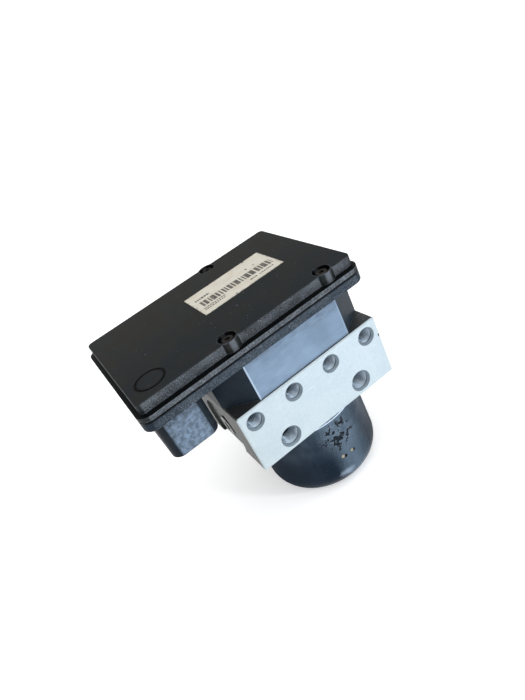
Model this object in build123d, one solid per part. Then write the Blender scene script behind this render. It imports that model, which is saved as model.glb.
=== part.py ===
from build123d import *
import math
import os

os.makedirs("parts", exist_ok=True)

# Anti-lock brake module: a drilled aluminium valve block with a pump motor under it and the
# electronic control unit on top. X runs to the right across the ported face, Y runs from the ported
# face to the back and Z runs up the motor's axis. The origin is the centre of the motor's flat end.
# All sizes are millimetres.

# ---------------------------------------------------------------- fits and clearances
press_gap = 0.03  # radial gap of a pressed or glued fit, drawn just free
slide_gap = 0.05  # radial gap of a piston or plunger in its bore
shaft_gap = 0.03  # radial gap of a shaft in a plain bush
loose_gap = 0.3  # gap round pieces that only have to clear each other
seal_gap = 0.15  # side gap of a seal in its groove
cut_over = 1.0  # how far a cutter runs past the face it opens
hole_relief = 1.0  # drilling left below the end of what sits in it

# ---------------------------------------------------------------- valve block
block_width = 99.0
block_depth = 88.0
block_height = 40.5
block_chamfer = 0.7
axis_setback = 39.5  # ported face to the motor's axis

# ---------------------------------------------------------------- brake line ports
wheel_port_pitch = 27.0
wheel_port_count = 4
wheel_port_drop = 8.1  # below the block's top
wheel_port_bore = 9.0  # tapping diameter of M10 x 1
master_port_pitch = 53.6
master_port_count = 2
master_port_rise = 8.7  # above the block's bottom
master_port_bore = 11.0  # tapping diameter of M12 x 1
port_countersink = 1.2  # depth and width of the lead-in at each mouth
port_depth = 14.0
port_feed = 3.5  # drilling from the port's seat into the block
port_feed_depth = 6.0

# ---------------------------------------------------------------- bracket holes in the back
bracket_hole_bore = 5.0  # tapping diameter of M6
bracket_hole_depth = 12.0
bracket_hole_pitch = 86.0
bracket_hole_rise = 8.0

# ---------------------------------------------------------------- pump motor
motor_length = 58.0  # can end to valve block
motor_radius = 37.5
can_wall = 1.8
can_end_radius = 15.5
end_plate_rim = 2.5
end_plate_lip = 0.5  # how far the plate stands out past the can
spigot_depth = 4.0
shaft_radius = 4.0
shaft_end_gap = 1.2
eccentricity = 1.2
eccentric_radius = 6.5
eccentric_length = 12.0
eccentric_ring_radius = 10.5
eccentric_ring_length = 9.0
shaft_nose = 3.0  # shaft beyond the eccentric
shaft_chamfer = 0.6
magnet_thickness = 7.6
magnet_length = 20.0
magnet_count = 4
magnet_sweep = 66.0
air_gap = 0.9
core_length = 19.0
core_end_gap = 0.5  # core above the start of the can's straight wall
slot_count = 12
slot_width = 4.0
slot_mouth = 1.6
slot_floor_radius = 17.0
tooth_tip = 1.6
end_turn_height = 3.5
end_turn_radius = 12.0
commutator_radius = 10.0
commutator_length = 8.0
commutator_groove = 0.5
commutator_groove_depth = 0.8
commutator_gap = 0.6  # winding to commutator
brush_width = 6.0
brush_height = 6.5
brush_length = 13.0
brush_gap = 0.1
brush_wall = 1.2
brush_plate = 2.4
brush_guide_gap = 1.5  # commutator to brush guide
brush_spring_room = 7.0  # guide behind a new brush
brush_spring_radius = 2.0
brush_spring_wire = 0.4
brush_spring_turns = 4
bush_radius = 7.0
bush_length = 5.5
bush_wall = 2.4
bearing_radius = 11.0
bearing_width = 7.0
bearing_race = 2.4
hub_wall = 2.5
hub_shoulder = 2.0  # end plate left above the bearing
motor_seal_radius = 35.4  # middle of the groove
motor_seal_width = 1.8
motor_seal_depth = 1.4
lead_offset = 29.0  # motor lead, in front of the axis
lead_sleeve_radius = 4.2
lead_sleeve_rise = 2.0  # above the block
lead_pin_radius = 1.0
lead_pin_pitch = 4.0

# ---------------------------------------------------------------- motor screws
motor_screw_radius = 2.5
motor_screw_head = 4.2
motor_screw_sink = 6.0
motor_screw_head_height = 4.5
motor_screw_socket = 2.2  # corner radius of the hexagon socket
motor_screw_socket_depth = 2.0
rear_screw_offset = 29.0  # behind the axis
front_screw_spread = 21.4  # each side of the axis
front_screw_offset = 19.5  # in front of the axis

# ---------------------------------------------------------------- pump
chamber_radius = 14.0
chamber_depth = 25.0
pump_rise = 13.0  # pump axis above the block's bottom
pump_piston_radius = 4.0
pump_guide_end = 29.0  # where the guide bore opens into the spring bore
pump_collar_radius = 6.0
pump_collar_length = 2.0
pump_collar_gap = 1.5
pump_bore_radius = 7.0
pump_plug_length = 6.5
pump_plug_sink = 0.8
pump_spotface_radius = 20.0
pump_spotface_depth = 2.0
pump_plug_socket = 3.0
pump_plug_socket_depth = 2.5
pump_spring_inset = 1.2  # wire's middle inside the collar's edge
pump_wire = 0.7
pump_turns = 4

# ---------------------------------------------------------------- low-pressure accumulators
accumulator_pitch = 52.0
accumulator_rise = 20.0
accumulator_radius = 10.0
accumulator_floor_gap = 0.5  # bore's floor to the piston at rest
accumulator_travel = 8.0
accumulator_spare = 2.9  # room left behind the piston at full travel
accumulator_piston_length = 9.0
accumulator_land = 1.2  # piston's end to its seal groove
accumulator_skirt = 1.6
accumulator_crown = 3.4
accumulator_seal_width = 2.0
accumulator_seal_depth = 1.3
accumulator_cap_length = 3.0
accumulator_cap_sink = 0.6
accumulator_cap_rim = 3.0
accumulator_cap_dish = 0.8
accumulator_vent_radius = 1.0
accumulator_wire = 0.8
accumulator_turns = 5

# ---------------------------------------------------------------- solenoid valves
valve_pitch = 21.4
valve_count = 4  # in each row
inlet_row = -14.0  # from the motor's axis
outlet_row = 8.0
valve_seat_radius = 5.0
valve_seat_depth = 10.0
valve_nose_radius = 2.4
valve_nose_depth = 16.0
dome_radius = 3.9
dome_height = 19.0
dome_floor = 2.0
dome_roof = 13.0
plunger_radius = 2.65
plunger_length = 9.0
plunger_travel = 0.4
stem_radius = 0.8
stem_length = 14.0
stem_gap = 0.1
coil_gap = 0.2
coil_radius = 8.0
yoke_wall = 1.1
yoke_rise = 1.0  # above the block
terminal_size = 0.8
terminal_pitch = 3.0
terminal_offset = 6.2

# ---------------------------------------------------------------- control unit housing
flange_left_reach = 40.7  # past the block's left side
flange_right_reach = 1.2  # past the block's right side
flange_depth = 105.1
flange_overhang = 5.0  # ahead of the ported face
flange_corner = 7.0
flange_thickness = 5.9
flange_edge_round = 0.6  # rounding of the flange's lower edge
floor_thickness = 2.5
rim_width = 4.2
skirt_height = 27.5
skirt_recess = 1.8  # skirt front behind the ported face
skirt_front_half = 32.0
skirt_slant = 15.3  # depth of the slanted front corners
skirt_wall = 3.2
skirt_corner = 1.2  # rounding of the skirt's upright corners
skirt_lip = 1.4  # rib under the flange above the skirt's front
skirt_lip_reach = 3.0
housing_seal_width = 1.2
housing_seal_depth = 1.6
housing_seal_inset = 1.0
coil_window_width = 90.0
coil_window_depth = 46.0
lug_radius = 4.2
lug_height = 14.0
housing_screw_radius = 2.0
housing_screw_depth = 10.0
housing_screw_head = 3.8
housing_screw_head_height = 2.6
housing_screw_socket = 1.6  # corner radius of the hexagon socket
housing_screw_socket_depth = 1.4
lug_web = 3.0  # thickness of the web from a lug to the skirt
front_lug_spread = 24.0
front_lug_inset = 7.0  # behind the skirt's front
rear_lug_spread = 42.0
rear_lug_inset = 7.5  # ahead of the block's back

# ---------------------------------------------------------------- connector
shroud_inset = 4.2  # from the flange's left edge
shroud_width = 28.5
shroud_front_setback = 1.4  # behind the ported face
shroud_length = 66.0
shroud_height = 26.3  # below the flange
shroud_wall = 2.4
shroud_corner = 6.0
shroud_mouth_round = 0.8  # rounding of the shroud's lower edge
insert_side = 4.0  # carrier beyond the outer rows of pins
insert_end = 2.4  # carrier beyond the power pins
insert_thickness = 4.0
pin_size = 0.64
pin_pitch = 4.0
pin_rows = 3
pin_columns = 11
pin_reach = 9.0  # into the socket
power_pin_width = 3.0
power_pin_gap = 3.6  # last signal pin to the power pin

# ---------------------------------------------------------------- cover
gasket_thickness = 0.5
gasket_inset = 0.8
gasket_width = 2.4
cover_edge = 2.6
front_ledge = 4.5  # ahead of the plateau
left_ledge = 2.6
right_ledge = 1.4
back_ledge = 1.6
cover_height = 6.3  # plateau above the ledge
cover_corner = 3.2
cover_edge_round = 0.8  # rounding of the plateau's top edge
cover_wall = 2.2
boss_radius = 6.2
front_boss_spread = 31.3
front_boss_inset = 8.3  # from the flange's front edge
rear_boss_offset = 1.5
rear_boss_inset = 6.3  # from the flange's back edge
boss_recess_radius = 5.2
boss_recess_depth = 3.0
cover_screw_radius = 1.75
cover_screw_length = 9.6
cover_screw_head = 3.2
cover_screw_head_height = 2.0
cover_screw_socket = 1.7  # corner radius of the hexagon socket
cover_screw_socket_depth = 1.2
mark_radius = 8.6
mark_inset_x = 16.6  # from the flange's left edge
mark_inset_y = 18.6  # from the flange's front edge
mark_groove = 0.5
mark_depth = 0.3
label_width = 55.5
label_depth = 33.0
label_thickness = 0.25
label_offset = 0.8
label_inset = 42.0  # from the flange's front edge

# ---------------------------------------------------------------- circuit board
board_thickness = 1.6
board_gap = 0.8
board_inset = 2.0
board_front_room = 15.5  # to the flange's front edge
board_back_room = 13.5  # to the flange's back edge
board_post_radius = 2.5
board_post_inset = 4.0

# ---------------------------------------------------------------- parts on the board
edge_room = 18.0  # board's left or right edge to the packages beside it
processor_size = (20.0, 20.0, 2.2)  # width, depth and height
processor_front = 22.0  # from the board's front edge
driver_size = (18.0, 18.0, 2.6)
driver_front = 46.0
memory_size = (10.0, 8.0, 1.6)
memory_front = 54.0
relay_size = (18.0, 22.0, 5.6)
relay_front = 48.0
capacitor_radius = 3.2
capacitor_height = 5.4
capacitor_count = 3
choke_radius = 4.0
choke_height = 5.0
choke_count = 2
round_part_pitch = 11.0
round_part_front = 10.0

# ---------------------------------------------------------------- places worked out from the sizes
block_bottom = motor_length
block_top = block_bottom + block_height
front_face = -axis_setback
back_face = front_face + block_depth
pump_level = block_bottom + pump_rise
can_inner = motor_radius - can_wall
plate_bottom = block_bottom - end_plate_rim
spigot_bottom = plate_bottom - spigot_depth + end_plate_rim
core_radius = can_inner - press_gap - magnet_thickness - air_gap
core_bottom = can_end_radius + core_end_gap
core_top = core_bottom + core_length
commutator_bottom = core_top + end_turn_height + commutator_gap
commutator_top = commutator_bottom + commutator_length
hub_bottom = block_bottom - bearing_width - hub_shoulder
ring_sweep = eccentric_ring_radius + eccentricity
plug_inner = block_width / 2 - pump_plug_sink - pump_plug_length
collar_inner = pump_guide_end + pump_collar_gap
flange_bottom = block_top + skirt_height
flange_top = flange_bottom + flange_thickness
floor_top = flange_bottom + floor_thickness
flange_x = (-block_width / 2 - flange_left_reach, block_width / 2 + flange_right_reach)
flange_y = (front_face - flange_overhang, front_face - flange_overhang + flange_depth)
cover_bottom = flange_top + gasket_thickness
ledge_level = cover_bottom + cover_edge
cover_top = ledge_level + cover_height
plateau_x = (flange_x[0] + left_ledge, flange_x[1] - right_ledge)
plateau_y = (flange_y[0] + front_ledge, flange_y[1] - back_ledge)
screw_seat = cover_top - boss_recess_depth
board_bottom = floor_top + board_gap
board_top = board_bottom + board_thickness
skirt_front = front_face + skirt_recess
shroud_x = (flange_x[0] + shroud_inset, flange_x[0] + shroud_inset + shroud_width)
shroud_y = (front_face + shroud_front_setback, front_face + shroud_front_setback + shroud_length)
shroud_bottom = flange_bottom - shroud_height
accumulator_level = block_bottom + accumulator_rise
cap_outer = back_face - accumulator_cap_sink
cap_inner = cap_outer - accumulator_cap_length
accumulator_seat = cap_inner - accumulator_spare - accumulator_travel - accumulator_piston_length
accumulator_floor = accumulator_seat - accumulator_floor_gap
power_pin_offset = (pin_columns - 1) / 2 * pin_pitch + power_pin_gap
insert_length = 2 * (power_pin_offset + insert_end)
insert_width = (pin_rows - 1) * pin_pitch + 2 * insert_side
board_x = (flange_x[0] + rim_width + board_inset, flange_x[1] - rim_width - board_inset)
board_y = (flange_y[0] + board_front_room, flange_y[1] - board_back_room)
valve_columns = [(i - (valve_count - 1) / 2) * valve_pitch for i in range(valve_count)]
yoke_top = block_top + dome_height
motor_screw_places = [
    (0.0, rear_screw_offset),
    (-front_screw_spread, -front_screw_offset),
    (front_screw_spread, -front_screw_offset),
]
lug_places = [
    (-front_lug_spread, skirt_front + front_lug_inset),
    (front_lug_spread, skirt_front + front_lug_inset),
    (-rear_lug_spread, back_face - rear_lug_inset),
    (rear_lug_spread, back_face - rear_lug_inset),
]
boss_places = [
    (-front_boss_spread, flange_y[0] + front_boss_inset),
    (front_boss_spread, flange_y[0] + front_boss_inset),
    (rear_boss_offset, flange_y[1] - rear_boss_inset),
]


# ---------------------------------------------------------------- shapes used all over
def drum(radius, bottom, top, x=0.0, y=0.0):
    """Upright cylinder between two heights."""
    base = (Align.CENTER, Align.CENTER, Align.MIN)
    return Pos(x, y, bottom) * Cylinder(radius, top - bottom, align=base)


def ring(outer, inner, bottom, top, x=0.0, y=0.0):
    """Upright tube between two heights."""
    return drum(outer, bottom, top, x, y) - drum(inner, bottom, top, x, y)


def drum_x(radius, start, end, y, z):
    """Cylinder along X from start to end."""
    low = min(start, end)
    return Pos(low, y, z) * Rot(0, 90, 0) * drum(radius, 0, abs(end - start))


def drum_y(radius, start, end, x, z):
    """Cylinder along Y from start to end."""
    high = max(start, end)
    return Pos(x, high, z) * Rot(90, 0, 0) * drum(radius, 0, abs(end - start))


def slab(xs, ys, zs):
    """Box between the two values of each pair."""
    corner = Pos(min(xs), min(ys), min(zs))
    size = (abs(xs[1] - xs[0]), abs(ys[1] - ys[0]), abs(zs[1] - zs[0]))
    return corner * Box(*size, align=(Align.MIN, Align.MIN, Align.MIN))


def rounded_slab(xs, ys, zs, radius):
    """Box with rounded upright edges."""
    outline = RectangleRounded(abs(xs[1] - xs[0]), abs(ys[1] - ys[0]), radius)
    middle = Pos(sum(xs) / 2, sum(ys) / 2, min(zs))
    return middle * extrude(outline, amount=abs(zs[1] - zs[0]))


def shrink(pair, inset):
    """The pair of values with both ends moved in by inset."""
    return (pair[0] + inset, pair[1] - inset)


def coil_spring(mean_radius, wire_radius, length, turns):
    """Compression spring standing on Z = 0, its wire inside the length."""
    rise = length - 2 * wire_radius
    path = Helix(rise / turns, rise, mean_radius)
    section = Plane(path @ 0, z_dir=path % 0) * Circle(wire_radius)
    return Pos(0, 0, wire_radius) * sweep(section, path, is_frenet=True)


def hexagon_socket(corner_radius, depth, top, x, y):
    """Hexagon socket sunk into a screw's head."""
    return Pos(x, y, top - depth) * extrude(RegularPolygon(corner_radius, 6), amount=depth)


def save(shape, node):
    """Writes one node's STEP file."""
    export_step(shape, f"parts/{node}.step")


def save_group(shapes, node):
    """Writes separate like pieces as one node."""
    export_step(Compound(children=[shape.solid() for shape in shapes]), f"parts/{node}.step")


# ---------------------------------------------------------------- valve block
def port(bore, x, z):
    """Brake line port cut from the ported face: countersunk mouth, tapped bore and seat drilling."""
    seat = front_face + port_depth
    base = (Align.CENTER, Align.CENTER, Align.MIN)
    mouth_cone = Cone(bore / 2 + port_countersink, bore / 2, port_countersink, align=base)
    seat_cone = Cone(bore / 2, port_feed / 2, port_feed, align=base)
    cut = drum_y(bore / 2, front_face, seat, x, z)
    cut += drum_y(port_feed / 2, seat, seat + port_feed_depth, x, z)
    cut += Pos(x, front_face, z) * Rot(-90, 0, 0) * mouth_cone
    cut += Pos(x, seat, z) * Rot(-90, 0, 0) * seat_cone
    return cut


def wheel_ports():
    """The row of ports to the wheel brakes."""
    start = -(wheel_port_count - 1) / 2 * wheel_port_pitch
    level = block_top - wheel_port_drop
    places = [start + i * wheel_port_pitch for i in range(wheel_port_count)]
    return [port(wheel_port_bore, x, level) for x in places]


def master_ports():
    """The pair of ports from the master cylinder."""
    start = -(master_port_count - 1) / 2 * master_port_pitch
    level = block_bottom + master_port_rise
    places = [start + i * master_port_pitch for i in range(master_port_count)]
    return [port(master_port_bore, x, level) for x in places]


def valve_places(row):
    """Places of the valves in one row."""
    return [(x, row) for x in valve_columns]


def valve_block():
    """Drilled block with its ports, valve seats, pump bore, accumulators and screw holes."""
    half_width = block_width / 2
    block = slab((-half_width, half_width), (front_face, back_face), (block_bottom, block_top))
    block = chamfer(block.edges(), block_chamfer)
    cuts = wheel_ports() + master_ports()
    nose_bottom = block_top - valve_nose_depth - hole_relief
    for x, y in valve_places(inlet_row) + valve_places(outlet_row):
        cuts.append(drum(valve_seat_radius, block_top - valve_seat_depth, block_top, x, y))
        cuts.append(drum(valve_nose_radius + press_gap, nose_bottom, block_top, x, y))
    cuts.append(drum(chamber_radius, block_bottom, block_bottom + chamber_depth))
    for side in (-1, 1):
        edge = side * half_width
        cuts.append(drum_x(pump_piston_radius + slide_gap, 0, edge, 0, pump_level))
        cuts.append(drum_x(pump_bore_radius, side * pump_guide_end, edge, 0, pump_level))
        spotface = edge - side * pump_spotface_depth
        cuts.append(drum_x(pump_spotface_radius, spotface, edge, 0, pump_level))
        centre = side * accumulator_pitch / 2
        cuts.append(drum_y(accumulator_radius, accumulator_floor, back_face, centre, accumulator_level))
        hole = (side * bracket_hole_pitch / 2, block_bottom + bracket_hole_rise)
        cuts.append(drum_y(bracket_hole_bore / 2, back_face - bracket_hole_depth, back_face, *hole))
    for x, y in motor_screw_places:
        cuts.append(drum(motor_screw_radius + loose_gap, block_bottom, block_top, x, y))
        cuts.append(drum(motor_screw_head + loose_gap, block_top - motor_screw_sink, block_top, x, y))
    screw_hole_bottom = block_top - housing_screw_depth - hole_relief
    for x, y in lug_places:
        cuts.append(drum(housing_screw_radius + press_gap, screw_hole_bottom, block_top, x, y))
    cuts.append(drum(lead_sleeve_radius + press_gap, block_bottom, block_top, 0, -lead_offset))
    half_groove = motor_seal_width / 2 + seal_gap
    groove = (motor_seal_radius + half_groove, motor_seal_radius - half_groove)
    cuts.append(ring(*groove, block_bottom, block_bottom + motor_seal_depth))
    return block - cuts


# ---------------------------------------------------------------- pump motor
def motor_can():
    """Deep-drawn can with a rounded closed end and a drawn seat for the bush."""
    shell = fillet(drum(motor_radius, 0, plate_bottom).edges().group_by(Axis.Z)[0], can_end_radius)
    hollow = drum(can_inner, can_wall, plate_bottom)
    hollow = fillet(hollow.edges().group_by(Axis.Z)[0], can_end_radius - can_wall)
    seat_bore = bush_radius + press_gap
    seat = ring(seat_bore + bush_wall, seat_bore, can_wall, can_wall + bush_length)
    return shell - hollow + seat


def motor_end_plate():
    """Die-cast plate that closes the can and carries the drive-end bearing."""
    plate = drum(motor_radius + end_plate_lip, plate_bottom, block_bottom)
    plate += drum(can_inner - press_gap, spigot_bottom, plate_bottom)
    plate += drum(bearing_radius + hub_wall, hub_bottom, spigot_bottom)
    cuts = [
        drum(bearing_radius + press_gap, hub_bottom, hub_bottom + bearing_width),
        drum(shaft_radius + bearing_race + loose_gap, hub_bottom, block_bottom),
        drum(lead_sleeve_radius + press_gap, spigot_bottom, block_bottom, 0, -lead_offset),
    ]
    for x, y in motor_screw_places:
        cuts.append(drum(motor_screw_radius + press_gap, spigot_bottom, block_bottom, x, y))
    return plate - cuts


def motor_seal_ring():
    """Square-section seal between the motor and the block."""
    half = motor_seal_width / 2
    edges = (motor_seal_radius + half, motor_seal_radius - half)
    return ring(*edges, block_bottom, block_bottom + motor_seal_depth)


def field_magnets():
    """Arc magnets glued inside the can."""
    outer = can_inner - press_gap
    inner = outer - magnet_thickness
    middle = (core_bottom + core_top) / 2
    bottom = middle - magnet_length / 2
    pieces = []
    for i in range(magnet_count):
        arc = CenterArc((0, 0), outer, -magnet_sweep / 2, magnet_sweep)
        back = CenterArc((0, 0), inner, -magnet_sweep / 2, magnet_sweep)
        outline = arc + back + Line(arc @ 0, back @ 0) + Line(arc @ 1, back @ 1)
        magnet = Pos(0, 0, bottom) * extrude(make_face(outline), amount=magnet_length)
        pieces.append(Rot(0, 0, 360 / magnet_count * (i + 0.5)) * magnet)
    return pieces


def slot_cutter(width, mouth, start, end, low, high):
    """One armature slot along +X: a wide channel under a narrow mouth."""
    channel = slab((start, end), (-width / 2, width / 2), (low, high))
    opening = slab((end - cut_over, core_radius + cut_over), (-mouth / 2, mouth / 2), (low, high))
    return channel + opening


def armature_core():
    """Laminated core with its ring of slots."""
    core = ring(core_radius, shaft_radius + press_gap, core_bottom, core_top)
    slot_end = core_radius - tooth_tip
    cutter = slot_cutter(slot_width, slot_mouth, slot_floor_radius, slot_end, core_bottom, core_top)
    return core - [Rot(0, 0, 360 / slot_count * i) * cutter for i in range(slot_count)]


def armature_winding():
    """Enamelled copper in the slots, with its end turns either side of the core."""
    outer = core_radius - tooth_tip - loose_gap
    inner = slot_floor_radius + loose_gap
    width = slot_width - 2 * seal_gap
    heads = ring(outer, end_turn_radius, core_bottom - end_turn_height, core_bottom)
    heads += ring(outer, end_turn_radius, core_top, core_top + end_turn_height)
    bar = slab((inner, outer - loose_gap), (-width / 2, width / 2), (core_bottom, core_top))
    return heads + [Rot(0, 0, 360 / slot_count * i) * bar for i in range(slot_count)]


def commutator():
    """Copper commutator, its bars parted by grooves."""
    barrel = ring(commutator_radius, shaft_radius + press_gap, commutator_bottom, commutator_top)
    groove = slab(
        (commutator_radius - commutator_groove_depth, commutator_radius + cut_over),
        (-commutator_groove / 2, commutator_groove / 2),
        (commutator_bottom, commutator_top),
    )
    return barrel - [Rot(0, 0, 360 / slot_count * (i + 0.5)) * groove for i in range(slot_count)]


def motor_shaft():
    """Shaft with the eccentric that drives the pump pistons."""
    low = pump_level - eccentric_length / 2
    high = low + eccentric_length
    shaft = drum(shaft_radius, can_wall + shaft_end_gap, high + shaft_nose)
    shaft += drum(eccentric_radius, low, high, eccentricity, 0)
    levels = shaft.edges().group_by(Axis.Z)
    return chamfer(levels[0] + levels[-1], shaft_chamfer)


def eccentric_bearing():
    """Ring of the needle bearing on the eccentric, which the pump pistons ride on."""
    low = pump_level - eccentric_ring_length / 2
    high = low + eccentric_ring_length
    return ring(eccentric_ring_radius, eccentric_radius + press_gap, low, high, eccentricity)


def rear_bush():
    """Sintered bush in the can's closed end."""
    return ring(bush_radius, shaft_radius + shaft_gap, can_wall, can_wall + bush_length)


def bearing_outer_ring():
    """Outer ring of the shielded drive-end bearing."""
    inner = shaft_radius + press_gap + bearing_race + loose_gap
    return ring(bearing_radius, inner, hub_bottom, hub_bottom + bearing_width)


def bearing_inner_ring():
    """Inner ring of the shielded drive-end bearing."""
    inner = shaft_radius + press_gap
    return ring(inner + bearing_race, inner, hub_bottom, hub_bottom + bearing_width)


def brush_box(side):
    """Guide of one brush, open towards the commutator and the can."""
    start = commutator_radius + brush_guide_gap
    end = start + brush_length + brush_spring_room
    half = brush_width / 2 + slide_gap
    low = (commutator_bottom + commutator_top - brush_height) / 2
    outside = slab(
        (side * start, side * end),
        (-half - brush_wall, half + brush_wall),
        (low - brush_wall, spigot_bottom),
    )
    tunnel = slab(
        (side * (start - cut_over), side * (end - brush_wall)),
        (-half, half),
        (low - slide_gap, low + brush_height + slide_gap),
    )
    return outside - tunnel


def brush_holder():
    """Moulded plate under the end plate with the two brush guides."""
    plate_low = spigot_bottom - brush_plate
    hub_hole = bearing_radius + hub_wall + loose_gap
    plate = ring(can_inner - loose_gap, hub_hole, plate_low, spigot_bottom)
    holder = plate + brush_box(-1) + brush_box(1)
    cuts = [
        drum(hub_hole, hub_bottom - loose_gap, spigot_bottom),
        drum(lead_sleeve_radius + press_gap, plate_low, spigot_bottom, 0, -lead_offset),
    ]
    for x, y in motor_screw_places:
        cuts.append(drum(motor_screw_radius + loose_gap, plate_low, spigot_bottom, x, y))
    return holder - cuts


def carbon_brushes():
    """The two brushes, hollowed to the commutator's curve."""
    low = (commutator_bottom + commutator_top - brush_height) / 2
    touch = drum(commutator_radius + brush_gap, low - cut_over, low + brush_height + cut_over)
    pieces = []
    for side in (-1, 1):
        start = side * (commutator_radius - cut_over)
        end = side * (commutator_radius + brush_length)
        brush = slab((start, end), (-brush_width / 2, brush_width / 2), (low, low + brush_height))
        pieces.append(brush - touch)
    return pieces


def brush_springs():
    """The two springs behind the brushes."""
    level = (commutator_bottom + commutator_top) / 2
    start = commutator_radius + brush_length
    length = brush_guide_gap + brush_spring_room - brush_wall
    coil = coil_spring(brush_spring_radius, brush_spring_wire, length, brush_spring_turns)
    spring = Pos(start, 0, level) * Rot(0, 90, 0) * coil
    return [spring, Rot(0, 0, 180) * spring]


def lead_sleeve():
    """Insulating sleeve that carries the motor's leads through the block."""
    low = spigot_bottom - brush_plate
    high = block_top + lead_sleeve_rise
    sleeve = drum(lead_sleeve_radius, low, high, 0, -lead_offset)
    bore = lead_pin_radius + press_gap
    return sleeve - [drum(bore, low, high, x, -lead_offset) for x in lead_pin_columns()]


def lead_pin_columns():
    """Places of the two motor leads across the sleeve."""
    return (-lead_pin_pitch / 2, lead_pin_pitch / 2)


def lead_pins():
    """The two rigid motor leads up to the circuit board."""
    bottom = spigot_bottom - brush_plate
    return [drum(lead_pin_radius, bottom, board_bottom, x, -lead_offset) for x in lead_pin_columns()]


def motor_screws():
    """Long screws from the top of the block into the motor's end plate."""
    screws = []
    for x, y in motor_screw_places:
        seat = block_top - motor_screw_sink
        top = seat + motor_screw_head_height
        screw = drum(motor_screw_radius, spigot_bottom, seat, x, y)
        screw += drum(motor_screw_head, seat, top, x, y)
        screws.append(screw - hexagon_socket(motor_screw_socket, motor_screw_socket_depth, top, x, y))
    return screws


# ---------------------------------------------------------------- pump
def pump_piston(side):
    """Radial pump piston with the collar its spring pushes on."""
    start = side * (ring_sweep + slide_gap)
    collar = side * collar_inner
    piston = drum_x(pump_piston_radius, start, collar, 0, pump_level)
    return piston + drum_x(pump_collar_radius, collar, collar + side * pump_collar_length, 0, pump_level)


def pump_spring(side):
    """Return spring between a pump piston and its plug."""
    start = collar_inner + pump_collar_length
    radius = pump_collar_radius - pump_spring_inset
    spring = coil_spring(radius, pump_wire, plug_inner - start, pump_turns)
    placed = Pos(start, 0, pump_level) * Rot(0, 90, 0) * spring
    return placed if side > 0 else Rot(0, 0, 180) * placed


def pump_plugs():
    """Plugs that close the pump bore on both sides of the block."""
    plugs = []
    for side in (-1, 1):
        outer = plug_inner + pump_plug_length
        plug = drum_x(pump_bore_radius - press_gap, side * plug_inner, side * outer, 0, pump_level)
        socket_floor = side * (outer - pump_plug_socket_depth)
        socket = drum_x(pump_plug_socket, socket_floor, side * outer, 0, pump_level)
        plugs.append(plug - socket)
    return plugs


# ---------------------------------------------------------------- low-pressure accumulators
def accumulator_well():
    """Radius of the well in an accumulator piston, which its spring sits in."""
    return accumulator_radius - slide_gap - accumulator_skirt - accumulator_seal_depth


def accumulator_piston(side):
    """Cup-shaped accumulator piston with its seal groove."""
    centre = (side * accumulator_pitch / 2, accumulator_level)
    radius = accumulator_radius - slide_gap
    end = accumulator_seat + accumulator_piston_length
    cup = drum_y(radius, accumulator_seat, end, *centre)
    cup -= drum_y(accumulator_well(), accumulator_seat + accumulator_crown, end, *centre)
    groove = accumulator_seat + accumulator_land
    span = (groove, groove + accumulator_seal_width)
    groove_ring = drum_y(radius, *span, *centre)
    groove_ring -= drum_y(radius - accumulator_seal_depth, *span, *centre)
    return cup - groove_ring


def accumulator_seal(side):
    """Seal ring in the groove of an accumulator piston."""
    centre = (side * accumulator_pitch / 2, accumulator_level)
    inner = accumulator_radius - slide_gap - accumulator_seal_depth + press_gap
    groove = accumulator_seat + accumulator_land
    span = (groove, groove + accumulator_seal_width)
    return drum_y(accumulator_radius - shaft_gap, *span, *centre) - drum_y(inner, *span, *centre)


def accumulator_spring(side):
    """Spring between an accumulator piston and its cap."""
    start = accumulator_seat + accumulator_crown
    radius = accumulator_well() - accumulator_wire - loose_gap
    spring = coil_spring(radius, accumulator_wire, cap_inner - start, accumulator_turns)
    return Pos(side * accumulator_pitch / 2, start, accumulator_level) * Rot(-90, 0, 0) * spring


def accumulator_caps():
    """Caps that close the accumulator bores in the block's back, each with its vent."""
    caps = []
    for side in (-1, 1):
        centre = (side * accumulator_pitch / 2, accumulator_level)
        dish_radius = accumulator_radius - accumulator_cap_rim
        cap = drum_y(accumulator_radius - press_gap, cap_inner, cap_outer, *centre)
        cap -= drum_y(dish_radius, cap_outer - accumulator_cap_dish, cap_outer, *centre)
        caps.append(cap - drum_y(accumulator_vent_radius, cap_inner, cap_outer, *centre))
    return caps


# ---------------------------------------------------------------- solenoid valves
def valve_body(x, y):
    """Valve cartridge pressed into the block, with the dome its plunger moves in."""
    body = drum(valve_nose_radius, block_top - valve_nose_depth, block_top, x, y)
    body += drum(valve_seat_radius - press_gap, block_top - valve_seat_depth, block_top, x, y)
    body += drum(dome_radius, block_top, block_top + dome_height, x, y)
    body -= drum(plunger_radius + slide_gap, block_top + dome_floor, block_top + dome_roof, x, y)
    return body - drum(stem_radius + stem_gap, block_top - valve_nose_depth, block_top + dome_floor, x, y)


def valve_plunger(x, y, lift):
    """Magnetic plunger with its stem, standing lift above the floor of the dome."""
    bottom = block_top + dome_floor + slide_gap + lift
    stem = drum(stem_radius, bottom - stem_length, bottom, x, y)
    return drum(plunger_radius, bottom, bottom + plunger_length, x, y) + stem


def valve_coil(x, y):
    """Wound coil over a valve's dome."""
    low = block_top + yoke_rise + yoke_wall
    high = yoke_top - yoke_wall
    return ring(coil_radius, dome_radius + coil_gap, low, high, x, y)


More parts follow.
